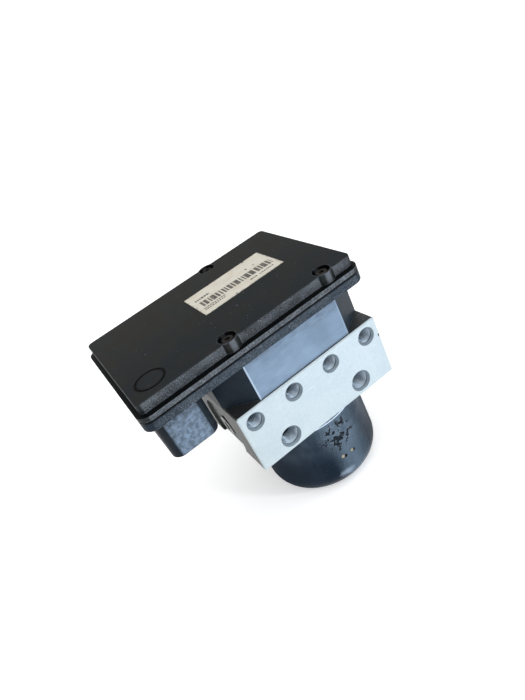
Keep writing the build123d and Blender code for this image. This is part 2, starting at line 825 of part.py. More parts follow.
def coil_yoke(x, y):
    """Steel cup that closes a coil's magnetic path, slotted for the coil's terminals."""
    outer = coil_radius + coil_gap + yoke_wall
    yoke = ring(outer, dome_radius + coil_gap, block_top + yoke_rise, yoke_top, x, y)
    yoke -= ring(
        coil_radius + coil_gap, dome_radius, block_top + yoke_rise + yoke_wall, yoke_top - yoke_wall, x, y
    )
    half = terminal_pitch / 2 + terminal_size
    across = (y + dome_radius + 2 * coil_gap, y + outer)
    return yoke - slab((x - half, x + half), across, (yoke_top - yoke_wall, yoke_top))


def coil_terminals():
    """Pairs of flat terminals from the coils up to the circuit board."""
    pieces = []
    half = terminal_size / 2
    height = (yoke_top - yoke_wall, board_bottom)
    for x, y in valve_places(inlet_row) + valve_places(outlet_row):
        for side in (-1, 1):
            middle = x + side * terminal_pitch / 2
            across = (y + terminal_offset - half, y + terminal_offset + half)
            pieces.append(slab((middle - half, middle + half), across, height))
    return pieces


# ---------------------------------------------------------------- control unit housing
def skirt_outline(inset):
    """Plan of the skirt: flush with the block's sides and back, with slanted front corners."""
    half = block_width / 2
    points = [
        (-skirt_front_half, skirt_front),
        (skirt_front_half, skirt_front),
        (half, skirt_front + skirt_slant),
        (half, back_face),
        (-half, back_face),
        (-half, skirt_front + skirt_slant),
    ]
    outline = make_face(Polyline(*points, close=True))
    return offset(outline, -inset, kind=Kind.INTERSECTION) if inset else outline


def skirt_layer(inset, bottom, top):
    """Slab with the skirt's plan between two heights."""
    return Pos(0, 0, bottom) * extrude(skirt_outline(inset), amount=top - bottom)


def seal_track(side_gap):
    """Loop of the seal in the foot of the skirt."""
    outer = skirt_layer(housing_seal_inset - side_gap, block_top, block_top + housing_seal_depth)
    inner_inset = housing_seal_inset + housing_seal_width + side_gap
    return outer - skirt_layer(inner_inset, block_top, block_top + housing_seal_depth)


def insert_window(gap):
    """Window for the pin carrier in the floor over the connector socket."""
    middle = (sum(shroud_x) / 2, sum(shroud_y) / 2)
    across = (middle[0] - insert_width / 2 - gap, middle[0] + insert_width / 2 + gap)
    along = (middle[1] - insert_length / 2 - gap, middle[1] + insert_length / 2 + gap)
    return across, along


def ecu_housing():
    """Moulded housing: tray with its flange, skirt over the valve coils and connector shroud."""
    tray = rounded_slab(flange_x, flange_y, (flange_bottom, flange_top), flange_corner)
    tray = fillet(tray.edges().group_by(Axis.Z)[0], flange_edge_round)
    inner = (shrink(flange_x, rim_width), shrink(flange_y, rim_width))
    tray -= rounded_slab(*inner, (floor_top, flange_top), flange_corner - rim_width)
    skirt = skirt_layer(0, block_top, flange_bottom)
    skirt = fillet(skirt.edges().filter_by(Axis.Z), skirt_corner)
    lip_y = (skirt_front - skirt_lip_reach, skirt_front + skirt_wall)
    lip = slab((-skirt_front_half, skirt_front_half), lip_y, (flange_bottom - skirt_lip, flange_bottom))
    shroud = rounded_slab(shroud_x, shroud_y, (shroud_bottom, flange_bottom), shroud_corner)
    shroud = fillet(shroud.edges().group_by(Axis.Z)[0], shroud_mouth_round)
    housing = tray + skirt + lip + shroud
    housing -= skirt_layer(skirt_wall, block_top, flange_bottom)
    for x, y in boss_places:
        housing += drum(boss_radius, floor_top, flange_top, x, y)
    for x, y in lug_places:
        wall = back_face if y > 0 else skirt_front
        lug = drum(lug_radius, block_top, block_top + lug_height, x, y)
        lug += slab((x - lug_web / 2, x + lug_web / 2), (y, wall), (block_top, block_top + lug_height))
        housing += lug & skirt_layer(0, block_top, flange_bottom)
    half_width = coil_window_width / 2
    middle = (inlet_row + outlet_row) / 2
    window_y = (middle - coil_window_depth / 2, middle + coil_window_depth / 2)
    cuts = [slab((-half_width, half_width), window_y, (flange_bottom, floor_top)), seal_track(seal_gap)]
    socket = (shrink(shroud_x, shroud_wall), shrink(shroud_y, shroud_wall))
    cuts.append(rounded_slab(*socket, (shroud_bottom, flange_bottom), shroud_corner - shroud_wall))
    cuts.append(slab(*insert_window(press_gap), (flange_bottom, floor_top)))
    lead_hole = lead_pin_radius + loose_gap
    cuts += [drum(lead_hole, flange_bottom, floor_top, x, -lead_offset) for x in lead_pin_columns()]
    for x, y in lug_places:
        cuts.append(drum(housing_screw_radius + loose_gap, block_top, block_top + lug_height, x, y))
    pilot_bottom = screw_seat - cover_screw_length - hole_relief
    for x, y in boss_places:
        cuts.append(drum(cover_screw_radius + press_gap, pilot_bottom, flange_top, x, y))
    return housing - cuts


def housing_seal():
    """Seal laid in the foot of the skirt."""
    return seal_track(0)


def housing_screws():
    """Screws that hold the housing down on the block."""
    screws = []
    for x, y in lug_places:
        seat = block_top + lug_height
        top = seat + housing_screw_head_height
        screw = drum(housing_screw_radius, block_top - housing_screw_depth, seat, x, y)
        screw += drum(housing_screw_head, seat, top, x, y)
        screws.append(screw - hexagon_socket(housing_screw_socket, housing_screw_socket_depth, top, x, y))
    return screws


# ---------------------------------------------------------------- connector
def pin_boxes(low, high):
    """Signal pins in rows and a broad power pin at each end, between two heights."""
    middle = (sum(shroud_x) / 2, sum(shroud_y) / 2)
    half = pin_size / 2
    boxes = []
    for row in range(pin_rows):
        x = middle[0] + (row - (pin_rows - 1) / 2) * pin_pitch
        for column in range(pin_columns):
            y = middle[1] + (column - (pin_columns - 1) / 2) * pin_pitch
            boxes.append(slab((x - half, x + half), (y - half, y + half), (low, high)))
    for side in (-1, 1):
        y = middle[1] + side * power_pin_offset
        across = (middle[0] - power_pin_width / 2, middle[0] + power_pin_width / 2)
        boxes.append(slab(across, (y - half, y + half), (low, high)))
    return boxes


def connector_insert():
    """Moulded carrier that holds the connector's pins."""
    across, along = insert_window(0)
    carrier = slab(across, along, (floor_top - insert_thickness, floor_top))
    return carrier - pin_boxes(floor_top - insert_thickness, floor_top)


def connector_pins():
    """Pins from the circuit board down into the connector socket."""
    return pin_boxes(flange_bottom - pin_reach, board_bottom)


# ---------------------------------------------------------------- circuit board
def circuit_board():
    """Bare circuit board."""
    return slab(board_x, board_y, (board_bottom, board_top))


def board_package(size, left, front):
    """Flat package on the board, from its left and front sides."""
    width, depth, height = size
    return slab((left, left + width), (front, front + depth), (board_top, board_top + height))


def board_components():
    """Main parts soldered to the board: processor, driver, memory, relay, chokes and capacitors."""
    left = board_x[0] + edge_room
    right = board_x[1] - edge_room
    front = board_y[0]
    middle = (left + right) / 2
    pieces = [
        board_package(processor_size, left, front + processor_front),
        board_package(memory_size, left, front + memory_front),
        board_package(driver_size, middle - driver_size[0] / 2, front + driver_front),
        board_package(relay_size, right - relay_size[0], front + relay_front),
    ]
    y = front + round_part_front
    for i in range(choke_count):
        x = middle - (i + 1) * round_part_pitch
        pieces.append(drum(choke_radius, board_top, board_top + choke_height, x, y))
    for i in range(capacitor_count):
        x = right - i * round_part_pitch
        pieces.append(drum(capacitor_radius, board_top, board_top + capacitor_height, x, y))
    return pieces


def board_posts():
    """Posts that hold the circuit board off the housing's floor."""
    xs = shrink(board_x, board_post_inset)
    ys = shrink(board_y, board_post_inset)
    return [drum(board_post_radius, floor_top, board_bottom, x, y) for x in xs for y in ys]


# ---------------------------------------------------------------- cover
def cover_gasket():
    """Flat gasket between housing and cover, with an eyed tab round each screw."""
    outer = (shrink(flange_x, gasket_inset), shrink(flange_y, gasket_inset))
    inset = gasket_inset + gasket_width
    inner = (shrink(flange_x, inset), shrink(flange_y, inset))
    gasket = rounded_slab(*outer, (flange_top, cover_bottom), flange_corner - gasket_inset)
    gasket -= rounded_slab(*inner, (flange_top, cover_bottom), flange_corner - inset)
    for x, y in boss_places:
        edge = outer[1][1] if y > 0 else outer[1][0]
        gasket += drum(boss_radius, flange_top, cover_bottom, x, y)
        gasket += slab((x - boss_radius, x + boss_radius), (y, edge), (flange_top, cover_bottom))
    holes = [drum(cover_screw_radius + loose_gap, flange_top, cover_bottom, x, y) for x, y in boss_places]
    return gasket - holes


def ecu_cover():
    """Moulded cover: thin edge, raised plateau and the three screw bosses in its walls."""
    cover = rounded_slab(flange_x, flange_y, (cover_bottom, ledge_level), flange_corner)
    cover += rounded_slab(plateau_x, plateau_y, (ledge_level, cover_top), cover_corner)
    cover = fillet(cover.edges().group_by(Axis.Z)[-1], cover_edge_round)
    cavity = (shrink(plateau_x, cover_wall), shrink(plateau_y, cover_wall))
    cover -= rounded_slab(*cavity, (cover_bottom, cover_top - cover_wall), cover_corner - cover_wall)
    for x, y in boss_places:
        cover += drum(boss_radius, cover_bottom, cover_top, x, y)
    for x, y in boss_places:
        cover -= drum(boss_recess_radius, screw_seat, cover_top, x, y)
        cover -= drum(cover_screw_radius + loose_gap, cover_bottom, screw_seat, x, y)
    mark = (flange_x[0] + mark_inset_x, flange_y[0] + mark_inset_y)
    return cover - ring(mark_radius, mark_radius - mark_groove, cover_top - mark_depth, cover_top, *mark)


def cover_screws():
    """Socket-headed screws that hold the cover on the housing."""
    screws = []
    top = screw_seat + cover_screw_head_height
    for x, y in boss_places:
        screw = drum(cover_screw_radius, screw_seat - cover_screw_length, screw_seat, x, y)
        screw += drum(cover_screw_head, screw_seat, top, x, y)
        screws.append(screw - hexagon_socket(cover_screw_socket, cover_screw_socket_depth, top, x, y))
    return screws


def blank_label():
    """Thin paper label on the cover."""
    across = (label_offset - label_width / 2, label_offset + label_width / 2)
    along = (flange_y[0] + label_inset, flange_y[0] + label_inset + label_depth)
    return slab(across, along, (cover_top, cover_top + label_thickness))


# ---------------------------------------------------------------- the nodes
def main():
    """Builds and writes every node."""
    save(valve_block(), "valve_block")
    save(motor_can(), "motor_can")
    save(motor_end_plate(), "motor_end_plate")
    save(motor_seal_ring(), "motor_seal_ring")
    save_group(field_magnets(), "field_magnets")
    save(armature_core(), "armature_core")
    save(armature_winding(), "armature_winding")
    save(commutator(), "commutator")
    save(motor_shaft(), "motor_shaft")
    save(eccentric_bearing(), "eccentric_bearing")
    save(rear_bush(), "rear_bush")
    save(bearing_outer_ring(), "bearing_outer_ring")
    save(bearing_inner_ring(), "bearing_inner_ring")
    save(brush_holder(), "brush_holder")
    save_group(carbon_brushes(), "carbon_brushes")
    save_group(brush_springs(), "brush_springs")
    save(lead_sleeve(), "lead_sleeve")
    save_group(lead_pins(), "lead_pins")
    save_group(motor_screws(), "motor_screws")
    for side, hand in ((-1, "left"), (1, "right")):
        save(pump_piston(side), f"pump_piston_{hand}")
        save(pump_spring(side), f"pump_spring_{hand}")
        save(accumulator_piston(side), f"accumulator_piston_{hand}")
        save(accumulator_seal(side), f"accumulator_seal_{hand}")
        save(accumulator_spring(side), f"accumulator_spring_{hand}")
    save_group(pump_plugs(), "pump_plugs")
    save_group(accumulator_caps(), "accumulator_caps")
    valves = valve_places(inlet_row) + valve_places(outlet_row)
    save_group([valve_body(x, y) for x, y in valve_places(inlet_row)], "inlet_valves")
    save_group([valve_body(x, y) for x, y in valve_places(outlet_row)], "outlet_valves")
    for number, (x, y) in enumerate(valve_places(inlet_row), 1):
        save(valve_plunger(x, y, plunger_travel), f"inlet_plunger_{number}")
    for number, (x, y) in enumerate(valve_places(outlet_row), 1):
        save(valve_plunger(x, y, 0.0), f"outlet_plunger_{number}")
    save_group([valve_coil(x, y) for x, y in valves], "valve_coils")
    save_group([coil_yoke(x, y) for x, y in valves], "coil_yokes")
    save_group(coil_terminals(), "coil_terminals")
    save(ecu_housing() + board_posts(), "ecu_housing")
    save(housing_seal(), "housing_seal")
    save_group(housing_screws(), "housing_screws")
    save(connector_insert(), "connector_insert")
    save_group(connector_pins(), "connector_pins")
    save(circuit_board(), "circuit_board")
    save_group(board_components(), "board_components")
    save(cover_gasket(), "cover_gasket")
    save(ecu_cover(), "ecu_cover")
    save_group(cover_screws(), "cover_screws")
    save(blank_label(), "blank_label")


main()
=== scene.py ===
"""An anti-lock brake module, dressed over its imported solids.

The solids come in as a fixed frame. Each sub-assembly below gives its own
solids their finish and adds what is too fine for the solids: threads in the
drilled holes and the print on the label. The finishes hold the rest, such as
mill marks, chipped paint and dust. Every size is in millimetres until a mesh
is made from it.
"""

from __future__ import annotations

import logging
import math
import random
from collections.abc import Iterable, Sequence
from dataclasses import dataclass, replace
from enum import Enum
from typing import Union

import bpy
from mathutils import Matrix, Vector


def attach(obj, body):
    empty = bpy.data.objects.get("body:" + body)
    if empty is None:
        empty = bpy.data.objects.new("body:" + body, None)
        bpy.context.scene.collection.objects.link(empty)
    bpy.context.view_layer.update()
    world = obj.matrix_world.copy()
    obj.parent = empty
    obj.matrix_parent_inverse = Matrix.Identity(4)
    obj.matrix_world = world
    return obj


MM = 0.001
"""Metres in a millimetre."""

"""Where the boxes of the solids and of the dressed part are written."""

Colour = tuple[float, float, float]
"""Linear red, green and blue."""

Point = tuple[float, float, float]
"""Three sizes, mostly an x, a y and a z, or a place on a face and a radius."""

Flat = tuple[float, float]
"""Two sizes: a place on a face, or where something starts and ends."""

Number = Union["Wire", float]
"""What a socket for one value takes."""

Paint = Union["Wire", Colour]
"""What a socket for a colour takes."""

Settings = dict[str, object]
"""A node's own settings, by name."""

Sockets = dict[Union[str, int], object]
"""Values and wires for a node's sockets, by name or number."""

log = logging.getLogger("brake_module")
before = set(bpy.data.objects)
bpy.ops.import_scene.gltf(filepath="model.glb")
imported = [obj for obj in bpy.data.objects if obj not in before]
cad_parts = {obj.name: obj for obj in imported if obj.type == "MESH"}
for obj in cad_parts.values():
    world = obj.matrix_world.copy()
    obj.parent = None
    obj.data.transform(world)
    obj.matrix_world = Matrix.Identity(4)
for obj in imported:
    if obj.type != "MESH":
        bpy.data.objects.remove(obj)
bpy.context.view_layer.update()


class Slot(Enum):
    """The names of the block's and the label's material slots."""

    BLOCK = "aluminium_block"
    LABEL = "label_paper"


# ---------------------------------------------------------------- shader maths


class Wire:
    """One output of a shader node, on which plain arithmetic adds Math nodes."""

    def __init__(self, graph: Graph, socket: bpy.types.NodeSocket) -> None:
        """Wraps a socket.

        Args:
            graph: The material's graph that the socket belongs to.
            socket: The output socket.
        """
        self.graph = graph
        self.socket = socket

    def math(self, operation: str, *values: Number) -> Wire:
        """Adds a Math node.

        Args:
            operation: The Math node's operation.
            values: What goes into its sockets, in order.

        Returns:
            The node's result.
        """
        inputs = dict(enumerate(values))
        return self.graph.wire("ShaderNodeMath", {"operation": operation}, inputs)

    def __add__(self, other: Number) -> Wire:
        """The sum of this and other."""
        return self.math("ADD", self, other)

    def __radd__(self, other: float) -> Wire:
        """The sum of other and this."""
        return self.math("ADD", other, self)

    def __sub__(self, other: Number) -> Wire:
        """This less other."""
        return self.math("SUBTRACT", self, other)

    def __rsub__(self, other: float) -> Wire:
        """Other less this."""
        return self.math("SUBTRACT", other, self)

    def __mul__(self, other: Number) -> Wire:
        """The product of this and other."""
        return self.math("MULTIPLY", self, other)

    def __rmul__(self, other: float) -> Wire:
        """The product of other and this."""
        return self.math("MULTIPLY", other, self)

    def __truediv__(self, other: Number) -> Wire:
        """This over other."""
        return self.math("DIVIDE", self, other)

    def __abs__(self) -> Wire:
        """This without its sign."""
        return self.math("ABSOLUTE", self)

    def sine(self) -> Wire:
        """The sine of this, in radians."""
        return self.math("SINE", self)

    def root(self) -> Wire:
        """The square root of this."""
        return self.math("SQRT", self)

    def larger(self, other: Number) -> Wire:
        """The larger of this and other."""
        return self.math("MAXIMUM", self, other)

    def smaller(self, other: Number) -> Wire:
        """The smaller of this and other."""
        return self.math("MINIMUM", self, other)

    def bearing(self, other: Wire) -> Wire:
        """The angle of a flat vector from the axis that other runs along.

        Args:
            other: The vector's part along that axis, where this is the part across it.

        Returns:
            The angle, in radians.
        """
        return self.math("ARCTAN2", self, other)

    def rise(self, start: float, end: float) -> Wire:
        """A smooth step.

        Args:
            start: Where the step leaves 0.
            end: Where it reaches 1; below start, the step falls instead.

        Returns:
            A value from 0 to 1.
        """
        low, high = min(start, end), max(start, end)
        step = self.graph.wire(
            "ShaderNodeMapRange",
            {"interpolation_type": "SMOOTHSTEP"},
            {"Value": self, "From Min": low, "From Max": high},
        )
        return step if end > start else 1.0 - step


def length(across: Wire, along: Wire) -> Wire:
    """The length of a flat vector, from its two parts."""
    return (across * across + along * along).root()


class Graph:
    """The node graph of one material."""

    def __init__(self, name: str) -> None:
        """Makes an empty material.

        Args:
            name: The material's name.
        """
        self.material = bpy.data.materials.new(name)
        self.material.use_nodes = True
        self.tree = self.material.node_tree
        self.tree.nodes.clear()
        self._place: Wire | None = None

    def node(
        self,
        kind: str,
        settings: Settings | None = None,
        inputs: Sockets | None = None,
    ) -> bpy.types.Node:
        """Adds any node.

        Args:
            kind: The node's type name in Blender.
            settings: Its own settings, set before its sockets are filled.
            inputs: Values or wires for its sockets, by name or number.

        Returns:
            The new node.
        """
        made = self.tree.nodes.new(kind)
        for key, value in (settings or {}).items():
            setattr(made, key, value)
        for key, value in (inputs or {}).items():
            socket = made.inputs[key]
            if isinstance(value, Wire):
                self.tree.links.new(value.socket, socket)
            elif isinstance(value, tuple) and socket.type == "RGBA":
                socket.default_value = (*value, 1.0)
            else:
                socket.default_value = value
        return made

    def wire(
        self,
        kind: str,
        settings: Settings | None = None,
        inputs: Sockets | None = None,
        output: Union[str, int] = 0,
    ) -> Wire:
        """Adds a node and takes one of its outputs.

        Args:
            kind: The node's type name in Blender.
            settings: Its own settings.
            inputs: Values or wires for its sockets.
            output: The output that is wanted, by name or number.

        Returns:
            That output.
        """
        return Wire(self, self.node(kind, settings, inputs).outputs[output])

    @property
    def place(self) -> Wire:
        """The point on the part, in millimetres in the part's own frame.

        Returns:
            The point, the same wire each time.
        """
        if self._place is None:
            spot = self.wire("ShaderNodeTexCoord", output="Object")
            self._place = self.stretch(spot, (1 / MM, 1 / MM, 1 / MM))
        return self._place

    @property
    def xyz(self) -> tuple[Wire, ...]:
        """The x, y and z of that point."""
        return self.split(self.place)

    def stretch(self, vector: Wire, by: Point) -> Wire:
        """Multiplies a vector by another.

        Args:
            vector: The vector.
            by: What each of its parts is multiplied by.

        Returns:
            The new vector.
        """
        settings = {"operation": "MULTIPLY"}
        return self.wire("ShaderNodeVectorMath", settings, {0: vector, 1: by})

    def split(self, vector: Wire) -> tuple[Wire, ...]:
        """The x, y and z of a vector."""
        made = self.node("ShaderNodeSeparateXYZ", None, {0: vector})
        return tuple(Wire(self, output) for output in made.outputs)

    def noise(
        self, scale: float, detail: float = 3.0, stretch: Point | None = None
    ) -> Wire:
        """Cloudy noise on the part.

        Args:
            scale: Features in each millimetre.
            detail: How many finer layers lie on the first.
            stretch: What the point is multiplied by first, for streaks.

        Returns:
            A value around one half.
        """
        spot = self.place if stretch is None else self.stretch(self.place, stretch)
        inputs = {"Vector": spot, "Scale": scale, "Detail": detail}
        return self.wire("ShaderNodeTexNoise", None, inputs)

    def cells(self, scale: float) -> Wire:
        """The distance to the nearest of many scattered points.

        Args:
            scale: Points along each millimetre.

        Returns:
            The distance, from 0 to about 1.
        """
        return self.wire(
            "ShaderNodeTexVoronoi", None, {"Vector": self.place, "Scale": scale}
        )

    def facing(self, axis: int) -> Wire:
        """How squarely a face looks along an axis, one way or the other.

        Args:
            axis: 0 for x, 1 for y and 2 for z.

        Returns:
            1 on a face square to the axis and 0 on one that runs along it.
        """
        normal = self.wire("ShaderNodeTexCoord", output="Normal")
        return abs(self.split(normal)[axis])

    def edges(self, radius: float) -> Wire:
        """A mask of the sharp edges.

        Args:
            radius: How far the mask reaches from an edge, in millimetres.

        Returns:
            1 at an edge and 0 on open faces.
        """
        # Only near an edge does the rounded surface lean away from the plain one.
        rounded = self.wire("ShaderNodeBevel", {"samples": 4}, {"Radius": radius * MM})
        plain = self.wire("ShaderNodeNewGeometry", output="Normal")
        dot = self.wire(
            "ShaderNodeVectorMath",
            {"operation": "DOT_PRODUCT"},
            {0: rounded, 1: plain},
            "Value",
        )
        return dot.rise(0.995, 0.86)

    def blend(self, share: Number, first: Paint, second: Paint) -> Wire:
        """Mixes two colours.

        Args:
            share: How much of the second shows, from 0 to 1.
            first: The colour where share is 0.
            second: The colour where share is 1.

        Returns:
            The mixed colour.
        """
        settings = {"data_type": "RGBA", "clamp_factor": True}
        inputs = {0: share, 6: first, 7: second}
        return self.wire("ShaderNodeMix", settings, inputs, 2)

    def relief(self, height: Wire, depth: float, under: Wire | None = None) -> Wire:
        """Tilts the surface by a height.

        Args:
            height: The height, where 1 is one depth.
            depth: Millimetres for a height of 1.
            under: A relief that this one lies on.

        Returns:
            The tilted normal.
        """
        inputs: Sockets = {"Height": height, "Distance": depth * MM}
        if under is not None:
            inputs["Normal"] = under
        return self.wire("ShaderNodeBump", None, inputs)

    def surface(
        self,
        colour: Paint,
        roughness: Number,
        metal: Number,
        normal: Wire | None = None,
        fixed: Sockets | None = None,
    ) -> None:
        """Ends the graph in one surface.

        Args:
            colour: Its colour.
            roughness: Its roughness.
            metal: How much of it is bare metal.
            normal: Its relief.
            fixed: Sockets that hold one value all over it.
        """
        inputs: Sockets = {
            "Base Color": colour,
            "Roughness": roughness,
            "Metallic": metal,
            **(fixed or {}),
        }
        if normal is not None:
            inputs["Normal"] = normal
        made = self.node("ShaderNodeBsdfPrincipled", None, inputs)
        out = self.node("ShaderNodeOutputMaterial")
        self.tree.links.new(made.outputs[0], out.inputs["Surface"])


# -------------------------------------------------------------------- finishes


@dataclass(frozen=True)
class Finish:
    """What every finish has: a name, and a way to paint itself.

    Args:
        name: The material's name.
    """

    name: str

    def paint(self, graph: Graph) -> None:
        """Fills the graph with this finish.

        Args:
            graph: The graph to fill.
        """
        raise NotImplementedError

    def material(self) -> bpy.types.Material:
        """Makes the material.

        Returns:
            The new material.
        """
        graph = Graph(self.name)
        self.paint(graph)
        return graph.material


@dataclass(frozen=True)
class MachinedAluminium(Finish):
    """A drawn bar, milled bright on the ported face and the one behind it.

    Args:
        bright: The clean milled metal.
        dull: Its blotches.
        skin: The bar's drawn skin on the other faces, dark partly as its own dull colour and
            partly as painted dark reflection.
        skin_dull: The blotches of the skin.
        shaded_top: The skin where it lies level, a painted shade for the light on the top faces.
        stain: Grime in the pits.
        dirt_and_shade: The spilt patches and nicks on the sides, and the painted shade that
            darkens the sides towards their back.
        scratched: The metal in a scratch.
        bore: A darker tone in the ports' mouths.
        root: The painted shade on the drilled walls between the threads.
        half_width: How far the skin of the sides is from the middle.
        skin_z: Heights of the skin underneath and on top.
        skin_fade: Where the skin's mask starts and is full, measured out from those faces.
        ends: Middle along y of the two milled faces, and how far each is from it.
        mill_fade: Where their mask starts and is full, measured out from them.
        back_shade: Where along y the painted shade on the sides starts, and where it is full.
        nicks: Place across, height and radius of each dark nick.
        roughness: Its middle roughness.
        marks: How strongly the cutter marks show, as a depth in millimetres.
    """

    name: str = "machined_aluminium"
    bright: Colour = (0.475, 0.54, 0.565)
    dull: Colour = (0.405, 0.475, 0.51)
    skin: Colour = (0.105, 0.108, 0.104)
    skin_dull: Colour = (0.055, 0.053, 0.047)
    shaded_top: Colour = (0.14, 0.15, 0.155)
    stain: Colour = (0.20, 0.21, 0.21)
    dirt_and_shade: Colour = (0.018, 0.020, 0.019)
    scratched: Colour = (0.70, 0.76, 0.80)
    bore: Colour = (0.155, 0.20, 0.235)
    root: Colour = (0.10, 0.13, 0.16)
    half_width: float = 49.5
    skin_z: Flat = (58.0, 98.5)
    skin_fade: Flat = (-2.3, -2.1)
    ends: Flat = (4.5, 44.0)
    mill_fade: Flat = (-1.4, -1.25)
    back_shade: Flat = (-38.0, 22.0)
    nicks: tuple[Point, ...] = ((48.8, 85.9, 1.0),)
    roughness: float = 0.50
    marks: float = 0.010

    def outside(self, graph: Graph) -> Wire:
        """Tells the bar's outside from the holes in it.

        Args:
            graph: The graph to add to.

        Returns:
            The mask of the outside.
        """
        x, _, z = graph.xyz
        beside = abs(x) - self.half_width
        above, below = z - self.skin_z[1], self.skin_z[0] - z
        return beside.larger(above).larger(below).rise(*self.skin_fade)

    def milled(self, graph: Graph) -> Wire:
        """The mask of the two milled faces."""
        out = abs(graph.xyz[1] - self.ends[0]) - self.ends[1]
        return out.rise(*self.mill_fade) * graph.facing(1).rise(0.5, 0.65)

    def oil_and_shade(self, graph: Graph, clouds: Wire) -> Wire:
        """Darkens the bar in spilt patches, and with painted shade as a film towards the back.

        Args:
            graph: The graph to add to.
            clouds: The noise that makes the film's rim wander.

        Returns:
            The mask of the spilt patches and the painted shade, which runs over the milled faces
            too.
        """
        wander = (clouds - 0.5) * 30.0
        film = (graph.xyz[1] + wander).rise(*self.back_shade)
        spilt = graph.noise(0.13, 6.0).rise(0.44, 0.60) * 0.75
        return film.larger(spilt * (1.0 - graph.facing(2)))

    def paint(self, graph: Graph) -> None:
        """Fills the graph with this finish.

        Args:
            graph: The graph to fill.
        """
        x, _, z = graph.xyz
        clouds = graph.noise(0.06, 4.0)
        cloudy = clouds.rise(0.35, 0.65)
        streaks = graph.noise(1.0, 5.0, (0.10, 0.6, 2.2))
        grained = graph.noise(1.3, 6.0, (0.5, 1.0, 1.5)).rise(0.34, 0.66)
        pits = graph.noise(1.5, 3.0).rise(0.64, 0.74)
        tilt = graph.facing(1)

        outside = self.outside(graph)
        inside = 1.0 - outside
        drawn = outside * (1.0 - self.milled(graph))
        oil_and_shade = self.oil_and_shade(graph, clouds) * drawn
        level = graph.facing(2).rise(0.7, 0.9) * drawn
        mouths = tilt.rise(0.97, 0.85) * tilt.rise(0.3, 0.5) * inside
        walls = tilt.rise(0.4, 0.2) * inside
        scratches = graph.noise(0.8, 2.0, (0.12, 1.0, 2.6)).rise(0.66, 0.72)

        face = graph.blend(cloudy * 0.35 + grained * 0.65, self.dull, self.bright)
        # The skin's dark tone is partly painted dark reflection.
        skin = graph.blend(cloudy, self.skin_dull, self.skin)
        colour = graph.blend(drawn, face, skin)
        # Painted shade: the level faces of the skin get their own tone.
        colour = graph.blend(level * 0.8, colour, self.shaded_top)
        colour = graph.blend(mouths, colour, self.bore)
        # Painted shade on the drilled walls between the threads.
        colour = graph.blend(walls, colour, self.root)
        # Painted shade: the sides darken towards the back, with spilt patches.
        colour = graph.blend(oil_and_shade * 0.85, colour, self.dirt_and_shade)
        colour = graph.blend(scratches * 0.30, colour, self.scratched)
        for east, height, reach in self.nicks:
            away = length(x - east, z - height) + (pits - 0.5) * 0.3
            colour = graph.blend(away.rise(reach, reach * 0.5), colour, self.dirt_and_shade)
        colour = graph.blend(pits * 0.35, colour, self.stain)
        colour = graph.blend(graph.edges(0.6) * 0.5, colour, self.bright)

        roughness = self.roughness + 0.22 * (streaks - 0.5) + 0.10 * (clouds - 0.5)
        metal = 0.9 - oil_and_shade * 0.7 - (1.0 - drawn) * 0.55
        normal = graph.relief(streaks - pits * 0.8, self.marks)
        graph.surface(colour, roughness, metal, normal)


@dataclass(frozen=True)
class Spot:
    """A ragged oval on a wall.

    Args:
        middle: Its middle, across and up.
        size: Its half width and half height.
        wander: How ragged its rim is.
    """

    middle: Flat
    size: Flat
    wander: float

    def away(self, across: Wire, height: Wire, ragged: Wire) -> Wire:
        """How far a place is from the middle, where the rim is at 1.

        Args:
            across: Where the place is across the wall.
            height: Where it is above the ground.
            ragged: The noise that roughens the rim.

        Returns:
            The distance, in the oval's own sizes.
        """
        sideways = (across - self.middle[0]) / self.size[0]
        upward = (height - self.middle[1]) / self.size[1]
        return length(sideways, upward) + (ragged - 0.5) * self.wander


